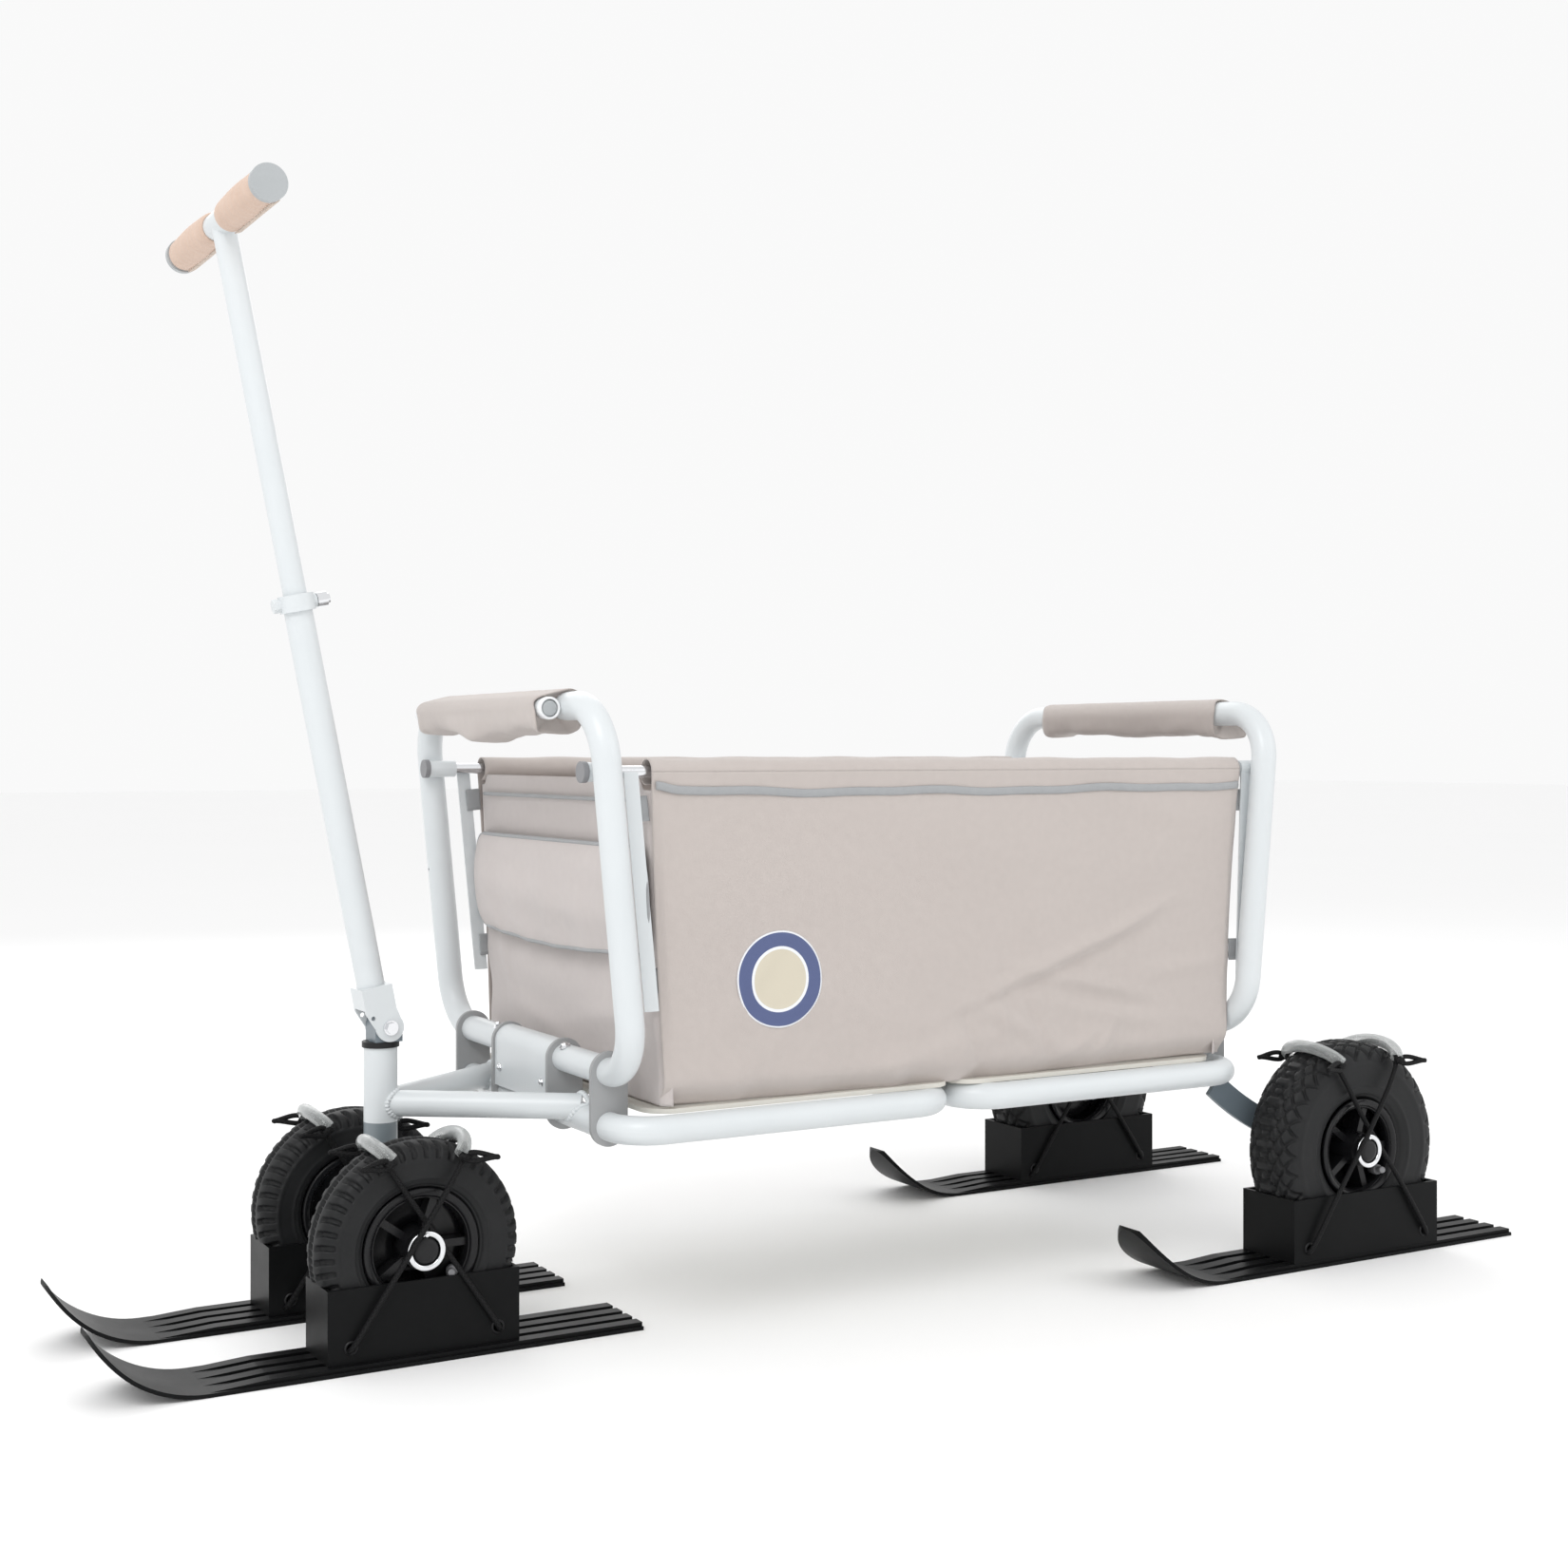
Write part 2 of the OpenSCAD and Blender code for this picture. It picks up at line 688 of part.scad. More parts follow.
module rail_tubes() {
    color(plate_grey) on_rail(1, rail_tube_rear)
        tube(rail_tube_d / 2, rail_tube_d / 2 - rod_r - rod_clear, rail_tube_len);
}

// Flat bars that hang inside the legs; top and bottom give their places from mid
module stay(x_top, x_bottom, wide, z_bottom) {
    translate([0, rail_y + rod_r + 2, 0]) rotate([90, 0, 0]) linear_extrude(2)
        polygon([
            [x_top - wide / 2, rail_z], [x_top + wide / 2, rail_z],
            [x_bottom + wide / 2, z_bottom], [x_bottom - wide / 2, z_bottom]
        ]);
}

module stays_front() {
    color(silver) at_mid() mirror_y() stay(-405, -381, 16, 352);
}

module stays_rear() {
    color(silver) difference() {
        at_mid() mirror_y() stay(426, 418, 14, 346);
        on_rail(1, leg_x + socket_out) cylinder(r = socket_r, h = socket_out + socket_in);
    }
}

// Bar outside the top bar, inside the same cover
module extra_bar(end) {
    color(silver) on_hoop(end) translate([hoop_h, extra_bar_len / 2, -end * extra_bar_off])
        rotate([90, 0, 0]) tube(extra_bar_d / 2, 1.5, extra_bar_len);
}

module handle_cover(end) {
    off = -end * extra_bar_off;
    bar_r = extra_bar_d / 2;
    color(taupe) on_hoop(end) translate([hoop_h, cover_len / 2, 0]) rotate([90, 0, 0])
        linear_extrude(cover_len) difference() {
            union() {
                circle(r = tube_r + cover_pad);
                translate([0, off]) circle(r = bar_r + cover_pad);
                translate([-bar_r - cover_pad, min(0, off)])
                    square([2 * bar_r + 2 * cover_pad, extra_bar_off]);
            }
            circle(r = tube_r + cover_gap);
            translate([0, off]) circle(r = bar_r + cover_gap);
        }
}

// ---------- fabric ----------

module end_panel(x_top, x_bottom) {
    half_w = rail_y - sleeve_out_r - 1;
    top_z = rail_z - 6;
    color(taupe) at_mid() translate([0, half_w, 0]) rotate([90, 0, 0])
        linear_extrude(2 * half_w) polygon([
            [x_bottom, panel_bottom_z], [x_bottom + fabric_t, panel_bottom_z],
            [x_top + fabric_t, top_z], [x_top, top_z]
        ]);
}

module side_panel() {
    y_out = fabric_half_w + fabric_t / 2;
    low_z = base_top + 8;
    color(taupe) at_mid() difference() {
        union() {
            translate([0, y_out, 0]) rotate([90, 0, 0]) linear_extrude(fabric_t)
                polygon([
                    [-panel_bottom_x, low_z], [rear_panel_bottom_x, low_z],
                    [rear_panel_top_x, rail_z], [-panel_top_x, rail_z]
                ]);
            translate([-panel_top_x, rail_y, rail_z]) rotate([0, 90, 0])
                cylinder(r = sleeve_out_r, h = panel_top_x + rear_panel_top_x);
        }
        translate([-panel_top_x - 1, rail_y, rail_z]) rotate([0, 90, 0])
            cylinder(r = sleeve_in_r, h = panel_top_x + rear_panel_top_x + 2);
    }
}

// ---------- wheels and skis ----------

// A wheel's own place: axis along Y, outer side towards +Y before mirroring
module at_wheel(x, y, z, near) {
    translate([x, near ? -y : y, z]) mirror([0, near ? 1 : 0, 0]) children();
}

function bead_half(w) = w / 2 - 10;

// The tyre is pressed flat by the deck and squeezed by the box's end walls
module tyre(d, w, axle_z, box_len) {
    r = d / 2;
    rim_r = rim_d / 2;
    seat = rim_r - 4;
    bulge = rim_r + 9;
    shoulder = (r - rim_r) * 0.45;
    half = w / 2;
    difference() {
        rotate([-90, 0, 0]) rotate_extrude() difference() {
            union() {
                translate([seat, -bead_half(w)]) square([bulge - seat, 2 * bead_half(w)]);
                translate([rim_r + 1, 8 - half]) square([8, w - 16]);
                translate([bulge, -half]) square([r - shoulder - bulge, w]);
                translate([bulge, shoulder - half]) square([r - bulge, w - 2 * shoulder]);
                for (s = [-1, 1]) {
                    translate([bulge, s * (half - 8)]) circle(r = 8);
                    translate([r - shoulder, s * (half - shoulder)]) circle(r = shoulder);
                }
            }
            translate([seat - 1, 5 - bead_half(w)]) square([bulge, 2 * bead_half(w) - 10]);
            translate([bulge, 7 - half]) square([r - shoulder - bulge, w - 14]);
        }
        translate([-d, -w, -r - d + tyre_squash]) cube([2 * d, 2 * w, d]);
        for (s = [0, 1]) mirror([s, 0, 0])
            translate([box_len / 2 - box_wall, -w, -d]) cube([d, 2 * w, d + box_top + 0.5 - axle_z]);
    }
}

module rim(w, hub_half) {
    r = rim_d / 2;
    seat = r - 4;
    flange_t = 3;
    barrel_half = bead_half(w) + flange_t;
    rotate([-90, 0, 0]) difference() {
        union() {
            difference() {
                union() {
                    translate([0, 0, -barrel_half]) cylinder(r = seat, h = 2 * barrel_half);
                    for (s = [0, 1]) mirror([0, 0, s])
                        translate([0, 0, bead_half(w)]) cylinder(r = r, h = flange_t);
                }
                translate([0, 0, -w]) cylinder(r = seat - 5, h = 2 * w);
            }
            translate([0, 0, -hub_half]) cylinder(r = hub_r, h = 2 * hub_half);
            for (k = [0:4]) rotate([0, 0, 72 * k])
                translate([0, -4, 0]) cube([seat - 4, 8, barrel_half - 6]);
        }
        translate([0, 0, -w]) cylinder(r = axle_d / 2 + turn_clear, h = 2 * w);
    }
}

// Flat blade with an upturned tip; x measured from the axle
module blade(tip, tail) {
    bend_x = -tip + tip_run;
    translate([bend_x, -ski_w / 2, 0]) cube([tail - bend_x, ski_w, blade_t]);
    translate([bend_x, -ski_w / 2, tip_r]) rotate([-90, 0, 0]) rotate([0, 0, 90])
        rotate_extrude(angle = asin(tip_run / tip_r)) translate([tip_r - blade_t, 0])
            square([blade_t, ski_w]);
}

// Rib that rises behind the upturned tip and runs out to the tail
module rib(tip, tail, y0) {
    bend_x = -tip + tip_run;
    hull() {
        translate([bend_x, y0, blade_t - eps]) cube([rib_rise, rib_w, eps * 2]);
        translate([bend_x + rib_rise, y0, blade_t - eps])
            cube([tail - bend_x - rib_rise, rib_w, rib_h + eps]);
    }
}

module ski(tip, tail, box_len, tyre_w) {
    rib_pitch = (ski_w - 7 - rib_w) / 3;
    box_w = tyre_w + 2 * box_gap + 2 * box_wall;
    hole_z = 24;
    hole_x = box_len / 2 - 24;
    intersection() {
        union() {
            blade(tip, tail);
            for (k = [0:3])
                rib(tip, tail, 3.5 - ski_w / 2 + k * rib_pitch);
        }
        union() {
            translate([-tip + ski_w / 2, 0, -1]) cylinder(d = ski_w, h = tip_r);
            translate([-tip + ski_w / 2, -ski_w / 2, -1]) cube([tip + tail, ski_w, tip_r]);
        }
    }
    difference() {
        translate([-box_len / 2, -box_w / 2, deck_z - eps])
            cube([box_len, box_w, box_top - deck_z]);
        translate([-box_len / 2 + box_wall, -box_w / 2 + box_wall, deck_z - 1])
            cube([box_len - 2 * box_wall, box_w - 2 * box_wall, box_top]);
        for (s = [-1, 1]) translate([s * hole_x, 0, hole_z]) rotate([90, 0, 0])
            cylinder(d = cord_d + 4, h = 2 * box_w, center = true);
    }
}

// A round cord swept along points, with flat ends
function unit(v) = v / norm(v);
function cord_dir(p, i) =
    unit(p[min(i + 1, len(p) - 1)] - p[max(i - 1, 0)]);
function cord_ring(c, d, r, sides) =
    let (side = unit(cross(d, abs(d[1]) > 0.9 ? [1, 0, 0] : [0, 1, 0])), up = cross(side, d))
    [for (k = [0:sides - 1]) c + r * (side * cos(360 * k / sides) + up * sin(360 * k / sides))];
module cord(points, r = cord_d / 2, sides = 8) {
    n = len(points);
    rings = [for (i = [0:n - 1]) each cord_ring(points[i], cord_dir(points, i), r, sides)];
    sides_faces = [for (i = [0:n - 2]) for (k = [0:sides - 1])
        [i * sides + k, i * sides + (k + 1) % sides,
         (i + 1) * sides + (k + 1) % sides, (i + 1) * sides + k]];
    polyhedron(rings, concat(sides_faces,
        [[for (k = [sides - 1:-1:0]) k]],
        [[for (k = [0:sides - 1]) (n - 1) * sides + k]]));
}

module front_wheel(near) {
    at_wheel(front_x, front_track, front_axle_z, near) children();
}

module rear_wheel(near) {
    at_wheel(rear_x, rear_track, rear_axle_z, near) children();
}

module front_ski(near) {
    at_wheel(front_x, front_track, 0, near)
        ski(front_ski_tip, front_ski_tail, front_box_len, front_tyre_w);
}

module rear_ski(near) {
    at_wheel(rear_x, rear_track, 0, near)
        ski(rear_ski_tip, rear_ski_tail, rear_box_len, rear_tyre_w);
}

module cord_pair(x, y, near, a, b) {
    color(black) at_wheel(x, y, 0, near) {
        cord(a);
        cord(b);
    }
}

// ---------- the nodes ----------

color(silver) base_loop(1);  // base_loop_rear
color("#e6e2da") floor_board(1);  // floor_board_rear
color(plate_grey) hoop_plates(1);  // hoop_plates_rear
color(silver) pivot_housing(1);  // pivot_housing_rear
color(steel_grey) mirror_y() rear_strut();  // rear_struts
color(plate_grey) hinge_leaves(1);  // hinge_leaves_rear
hinge_pins();
color(silver) base_loop(-1);  // base_loop_front
color("#e6e2da") floor_board(-1);  // floor_board_front
color(plate_grey) hoop_plates(-1);  // hoop_plates_front
color(silver) pivot_housing(-1);  // pivot_housing_front
yoke_arms();
head_tube();
head_bushes();
color(plate_grey) hinge_leaves(-1);  // hinge_leaves_front
hoop_tube(-1);  // hoop_tube_front
stays_front();
extra_bar(-1);  // extra_bar_front
handle_cover(-1);  // handle_cover_front
end_panel(-panel_top_x, -panel_bottom_x);  // front_panel
rail_sockets(-1);  // rail_sockets_front
rail_rods_front();
socket_caps(-1);  // socket_caps_front
hoop_tube(1);  // hoop_tube_rear
stays_rear();
extra_bar(1);  // extra_bar_rear
handle_cover(1);  // handle_cover_rear
end_panel(rear_panel_top_x - fabric_t, rear_panel_bottom_x - 10);  // rear_panel
rail_sockets(1);  // rail_sockets_rear
rail_rods_rear();
rail_tubes();
socket_caps(1);  // socket_caps_rear
mirror([0, 1, 0]) side_panel();  // side_panel_near
side_panel();  // side_panel_far
steering_spindle();
front_axle();
drawbar_clevis();
drawbar_lower_tube();
drawbar_pivot_bolt();
clamp_collar();
handle_tube();
handle_grips();
grip_end_caps();
clamp_screw();
color(black) front_wheel(true) tyre(front_tyre_d, front_tyre_w, front_axle_z, front_box_len);  // tyre_front_near
color(black) front_wheel(true) rim(front_tyre_w, front_hub_half);  // rim_front_near
color(black) front_ski(true);  // ski_front_near
cord_pair(front_x, front_track, true, front_cord_a, front_cord_b);  // cords_front_near
color(black) front_wheel(false) tyre(front_tyre_d, front_tyre_w, front_axle_z, front_box_len);  // tyre_front_far
color(black) front_wheel(false) rim(front_tyre_w, front_hub_half);  // rim_front_far
color(black) front_ski(false);  // ski_front_far
cord_pair(front_x, front_track, false, front_cord_a, front_cord_b);  // cords_front_far
color(black) rear_wheel(true) tyre(rear_tyre_d, rear_tyre_w, rear_axle_z, rear_box_len);  // tyre_rear_near
color(black) rear_wheel(true) rim(rear_tyre_w, rear_hub_half);  // rim_rear_near
color(black) rear_ski(true);  // ski_rear_near
cord_pair(rear_x, rear_track, true, rear_cord_a, rear_cord_b);  // cords_rear_near
color(black) rear_wheel(false) tyre(rear_tyre_d, rear_tyre_w, rear_axle_z, rear_box_len);  // tyre_rear_far
color(black) rear_wheel(false) rim(rear_tyre_w, rear_hub_half);  // rim_rear_far
color(black) rear_ski(false);  // ski_rear_far
cord_pair(rear_x, rear_track, false, rear_cord_a, rear_cord_b);  // cords_rear_far
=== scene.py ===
"""A folding beach cart on four ribbed skis: cloth, tyres, cords and finishes
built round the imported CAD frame.  Metres, +Z up, -X is the drawbar end."""

import math

import bpy
import numpy as np
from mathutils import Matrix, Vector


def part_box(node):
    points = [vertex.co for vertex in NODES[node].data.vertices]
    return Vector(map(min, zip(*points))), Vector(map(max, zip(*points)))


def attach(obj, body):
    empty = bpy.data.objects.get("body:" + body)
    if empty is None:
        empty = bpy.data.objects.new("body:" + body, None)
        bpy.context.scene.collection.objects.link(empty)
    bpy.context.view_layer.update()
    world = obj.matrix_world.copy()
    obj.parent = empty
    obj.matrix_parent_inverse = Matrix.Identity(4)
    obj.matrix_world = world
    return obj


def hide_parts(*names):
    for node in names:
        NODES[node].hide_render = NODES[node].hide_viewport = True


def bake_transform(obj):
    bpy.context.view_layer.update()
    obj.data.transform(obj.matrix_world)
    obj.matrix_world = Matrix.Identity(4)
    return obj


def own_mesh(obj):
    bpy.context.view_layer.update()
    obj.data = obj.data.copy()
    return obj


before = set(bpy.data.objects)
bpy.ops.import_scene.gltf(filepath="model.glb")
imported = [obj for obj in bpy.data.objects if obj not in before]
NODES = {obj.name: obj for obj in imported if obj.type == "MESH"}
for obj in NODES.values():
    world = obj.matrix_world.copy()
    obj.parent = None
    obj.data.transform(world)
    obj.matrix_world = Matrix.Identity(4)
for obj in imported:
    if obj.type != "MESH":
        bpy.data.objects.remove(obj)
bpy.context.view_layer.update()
TAU = 2 * math.pi

# ---------- driving sizes, read from the frame where it has them ----------


def low_high(node):
    """Lowest and highest corners of a node at rest, as arrays."""
    low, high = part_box(node)
    return np.array(low), np.array(high)


def middle(node):
    """Middle of a node's box at rest."""
    low, high = low_high(node)
    return (low + high) / 2


CORNERS = ("front_near", "front_far", "rear_near", "rear_far")
DECK_Z = low_high("tyre_front_near")[0][2]
BOX_TOP = 0.083
BOX_INSIDE = {"front": 0.098, "rear": 0.116}
FRAME_TUBE_R = 0.015
RAIL_Z = middle("rail_tubes")[2]
RAIL_Y = (low_high("rail_tubes")[1][1] + low_high("side_panel_far")[0][1] + 0.0028) / 2
BOARD_TOP = low_high("floor_board_front")[1][2]
SIDE_LOW, SIDE_HIGH = low_high("side_panel_far")
FRONT_LOW, FRONT_HIGH = low_high("front_panel")
REAR_LOW, REAR_HIGH = low_high("rear_panel")
PANEL_Y = 0.2415
HEAD_X = middle("head_tube")[0]

# ---------- camera, at the viewing angle of a person beside the drawbar ----------

camera_data = bpy.data.cameras.new("camera")
camera_data.lens = 46.86
camera_data.sensor_width = 36
camera_data.shift_y = -0.0208
camera = bpy.data.objects.new("camera", camera_data)
camera.location = (-1.248, -2.119, 0.619)
camera.rotation_euler = (math.radians(90), 0, math.radians(-29.9))
bpy.context.scene.collection.objects.link(camera)
bpy.context.scene.camera = camera

# ---------- mesh helpers ----------


def grid_faces(nu, nv, close_u=False, close_v=False):
    """Quads of a grid whose points are numbered row by row."""
    i = np.arange(nu if close_u else nu - 1)
    j = np.arange(nv if close_v else nv - 1)
    i, j = (a.ravel() for a in np.meshgrid(i, j, indexing="ij"))
    ni, nj = (i + 1) % nu, (j + 1) % nv
    return np.stack([i * nv + j, ni * nv + j, ni * nv + nj, i * nv + nj], 1)


def make_piece(name, points, faces, material, body, slot, uv=None, smooth=True):
    """A mesh object from arrays, placed by its own vertices, riding on a body.
    uv holds one pair per point."""
    mesh = bpy.data.meshes.new(name)
    mesh.from_pydata(points.reshape(-1, 3).tolist(), [], [list(map(int, f)) for f in faces])
    mesh.polygons.foreach_set("use_smooth", [smooth] * len(mesh.polygons))
    if uv is not None:
        layer = mesh.uv_layers.new(name="UVMap")
        corner = np.zeros(len(mesh.loops), np.int32)
        mesh.loops.foreach_get("vertex_index", corner)
        layer.data.foreach_set("uv", uv.reshape(-1, 2)[corner].astype(np.float32).ravel())
    mesh.materials.append(material)
    mesh.validate()
    mesh.update()
    piece = bpy.data.objects.new(name, mesh)
    bpy.context.scene.collection.objects.link(piece)
    if body:
        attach(piece, body)
    return piece


def gather(parts):
    """Joins (points, faces, uv) parts into one set of arrays."""
    points, faces, uvs, start = [], [], [], 0
    for part_points, part_faces, part_uv in parts:
        flat = part_points.reshape(-1, 3)
        points.append(flat)
        faces.extend(part_faces + start if isinstance(part_faces, np.ndarray) else
                     [[k + start for k in f] for f in part_faces])
        uvs.append(part_uv.reshape(-1, 2) if part_uv is not None else np.zeros((len(flat), 2)))
        start += len(flat)
    return np.concatenate(points), faces, np.concatenate(uvs)


def solidify(piece, thickness, offset=0.0):
    """Give a sheet its thickness, split about the surface by offset."""
    wall = piece.modifiers.new("wall", "SOLIDIFY")
    wall.thickness = thickness
    wall.offset = offset
    return piece


def smoothstep(x, a, b):
    """0 before a, 1 after b, and 3t^2 - 2t^3 between them."""
    t = np.clip((x - a) / (b - a), 0, 1)
    return t * t * (3 - 2 * t)


def curve_through(points, count):
    """Catmull-Rom curve through the points, count samples evenly spread in its parameter."""
    p = np.asarray(points, float)
    p = np.vstack([2 * p[0] - p[1], p, 2 * p[-1] - p[-2]])
    t = np.linspace(0, len(p) - 3 - 1e-9, count)
    k = t.astype(int)
    f = (t - k)[:, None]
    a, b, c, d = p[k], p[k + 1], p[k + 2], p[k + 3]
    return 0.5 * (2 * b + (c - a) * f + (2 * a - 5 * b + 4 * c - d) * f**2
                  + (3 * b - a - 3 * c + d) * f**3)


def along(path):
    """Distance from the start at each point of a path."""
    return np.concatenate([[0], np.cumsum(np.linalg.norm(np.diff(path, axis=0), axis=1))])


def tube_part(path, radius, reference=(1, 0, 0), sides=16, closed=False, capped=True):
    """Tube round a path: at each point a ring at right angles to the path's direction,
    turned from a fixed reference direction.  radius is one value or one per point.
    uv is (turn, metres along)."""
    step = np.roll(path, -1, 0) - np.roll(path, 1, 0) if closed else np.gradient(path, axis=0)
    ahead = step / np.linalg.norm(step, axis=1)[:, None]
    across = np.cross(ahead, np.asarray(reference, float))
    across /= np.linalg.norm(across, axis=1)[:, None]
    up = np.cross(across, ahead)
    turn = np.linspace(0, TAU, sides, endpoint=False)
    r = np.broadcast_to(np.asarray(radius, float), (len(path),))[:, None, None]
    ring = (np.cos(turn)[None, :, None] * across[:, None]
            + np.sin(turn)[None, :, None] * up[:, None])
    points = path[:, None] + r * ring
    faces = grid_faces(len(path), sides, close_u=closed, close_v=True)[:, ::-1]
    faces = [list(f) for f in faces]
    if capped and not closed:
        faces.append(list(range(sides)))
        faces.append([(len(path) - 1) * sides + k for k in range(sides)][::-1])
    uv = np.stack(np.broadcast_arrays(turn[None] / TAU, along(path)[:, None]), -1)
    return points, faces, uv


def lathe_part(profile, centre, axis=(0, 1, 0), steps=48):
    """Profile of (distance from the axis, distance along it) turned round an axis
    through centre.  uv is (turn, place in the profile)."""
    axis = np.asarray(axis, float) / np.linalg.norm(axis)
    helper = np.array([0.0, 0, 1]) if abs(axis[2]) < 0.9 else np.array([1.0, 0, 0])
    side = np.cross(axis, helper)
    side /= np.linalg.norm(side)
    up = np.cross(side, axis)
    a = np.linspace(0, TAU, steps, endpoint=False)
    r, h = np.asarray(profile, float).T
    ring = np.cos(a)[:, None] * side + np.sin(a)[:, None] * up
    points = (np.asarray(centre, float) + ring[:, None] * r[None, :, None]
              + axis * h[None, :, None])
    uv = np.stack(np.broadcast_arrays(a[:, None] / TAU, np.arange(len(r))[None] * 0.01), -1)
    faces = grid_faces(steps, len(r), close_u=True)
    return points, [list(f) for f in faces], uv


def rounded(profile, radius=0.0006, steps=3):
    """The profile with each inner corner replaced by a short arc."""
    p = np.asarray(profile, float)
    out = [p[0]]
    for a, b, c in zip(p[:-2], p[1:-1], p[2:]):
        reach = min(radius, np.linalg.norm(b - a) / 2.2, np.linalg.norm(c - b) / 2.2)
        start = b + (a - b) / np.linalg.norm(a - b) * reach
        end = b + (c - b) / np.linalg.norm(c - b) * reach
        for t in np.linspace(0, 1, steps):
            out.append((1 - t) ** 2 * start + 2 * t * (1 - t) * b + t * t * end)
    out.append(p[-1])
    return np.array(out)


# ---------- shader groups and materials ----------


def shader_group(name, inputs, outputs, build):
    """A node group with named inputs (name, type, value) and outputs (name, type)."""
    tree = bpy.data.node_groups.new(name, "ShaderNodeTree")
    for socket_name, kind, value in inputs:
        socket = tree.interface.new_socket(socket_name, in_out="INPUT", socket_type=kind)
        if value is not None:
            socket.default_value = value
    for socket_name, kind in outputs:
        tree.interface.new_socket(socket_name, in_out="OUTPUT", socket_type=kind)
    build(tree, tree.nodes.new("NodeGroupInput"), tree.nodes.new("NodeGroupOutput"))
    return tree


def math_node(tree, operation, a, b=None, clamp=False):
    """Output of a Math node whose inputs are numbers or sockets."""
    node = tree.nodes.new("ShaderNodeMath")
    node.operation = operation
    node.use_clamp = clamp
    for socket, value in zip(node.inputs, (a, b)):
        if value is None:
            continue
        if isinstance(value, (int, float)):
            socket.default_value = value
        else:
            tree.links.new(value, socket)
    return node.outputs[0]


def noise_node(tree, vector, scale, detail=3.0, roughness=0.5):
    """Noise factor at a vector, with a number or a socket as its scale."""
    node = tree.nodes.new("ShaderNodeTexNoise")
    node.inputs["Detail"].default_value = detail
    node.inputs["Roughness"].default_value = roughness
    if isinstance(scale, (int, float)):
        node.inputs["Scale"].default_value = scale
    else:
        tree.links.new(scale, node.inputs["Scale"])
    tree.links.new(vector, node.inputs["Vector"])
    return node.outputs["Fac"]


FLOAT, VECTOR = "NodeSocketFloat", "NodeSocketVector"


def build_weave(tree, source, result):
    """Plain weave: ribs along each thread, the over-thread swapping in a chequer."""
    split = tree.nodes.new("ShaderNodeSeparateXYZ")
    tree.links.new(source.outputs["Vector"], split.inputs[0])
    threads = [math_node(tree, "MULTIPLY", split.outputs[k], source.outputs["Threads per metre"])
               for k in (0, 1)]
    waves = [math_node(tree, "SINE", math_node(tree, "MULTIPLY", t, math.pi)) for t in threads]
    ribs = [math_node(tree, "ABSOLUTE", w) for w in waves]
    over = math_node(tree, "GREATER_THAN", math_node(tree, "MULTIPLY", *waves), 0.0)
    mix = tree.nodes.new("ShaderNodeMix")
    tree.links.new(over, mix.inputs[0])
    tree.links.new(ribs[0], mix.inputs[2])
    tree.links.new(ribs[1], mix.inputs[3])
    slub = noise_node(tree, source.outputs["Vector"], 90.0, 4.0)
    tree.links.new(math_node(tree, "ADD", math_node(tree, "MULTIPLY", mix.outputs[0], 0.75),
                             math_node(tree, "MULTIPLY", slub, 0.25)), result.inputs["Height"])
    tree.links.new(slub, result.inputs["Slub"])


def build_mottle(tree, source, result):
    """Soft large patches and a fine grain, each from 0 to 1."""
    large = noise_node(tree, source.outputs["Vector"], source.outputs["Patch scale"], 4.0, 0.6)
    fine = noise_node(tree, source.outputs["Vector"], source.outputs["Grain scale"], 2.0)
    tree.links.new(large, result.inputs["Patches"])
    tree.links.new(fine, result.inputs["Grain"])


def build_dust(tree, source, result):
    """Dust that lies on upward faces and in broken patches."""
    geometry = tree.nodes.new("ShaderNodeNewGeometry")
    split = tree.nodes.new("ShaderNodeSeparateXYZ")
    tree.links.new(geometry.outputs["Normal"], split.inputs[0])
    up = math_node(tree, "MAXIMUM", split.outputs[2], 0.0)
    patches = noise_node(tree, source.outputs["Vector"], 35.0, 6.0, 0.7)
    ramp = math_node(tree, "SUBTRACT", patches, 0.45, clamp=True)
    lying = math_node(tree, "ADD", math_node(tree, "MULTIPLY", up, 0.6), 0.4)
    amount = math_node(tree, "MULTIPLY", math_node(tree, "MULTIPLY", ramp, lying),
                       source.outputs["Amount"], clamp=True)
    tree.links.new(amount, result.inputs["Mask"])


WEAVE = shader_group("plain_weave", [("Vector", VECTOR, None), ("Threads per metre", FLOAT, 900.0)],
                     [("Height", FLOAT), ("Slub", FLOAT)], build_weave)
MOTTLE = shader_group("mottle", [("Vector", VECTOR, None), ("Patch scale", FLOAT, 6.0),
                                 ("Grain scale", FLOAT, 400.0)],
                      [("Patches", FLOAT), ("Grain", FLOAT)], build_mottle)
DUST = shader_group("dust", [("Vector", VECTOR, None), ("Amount", FLOAT, 1.0)],
                    [("Mask", FLOAT)], build_dust)


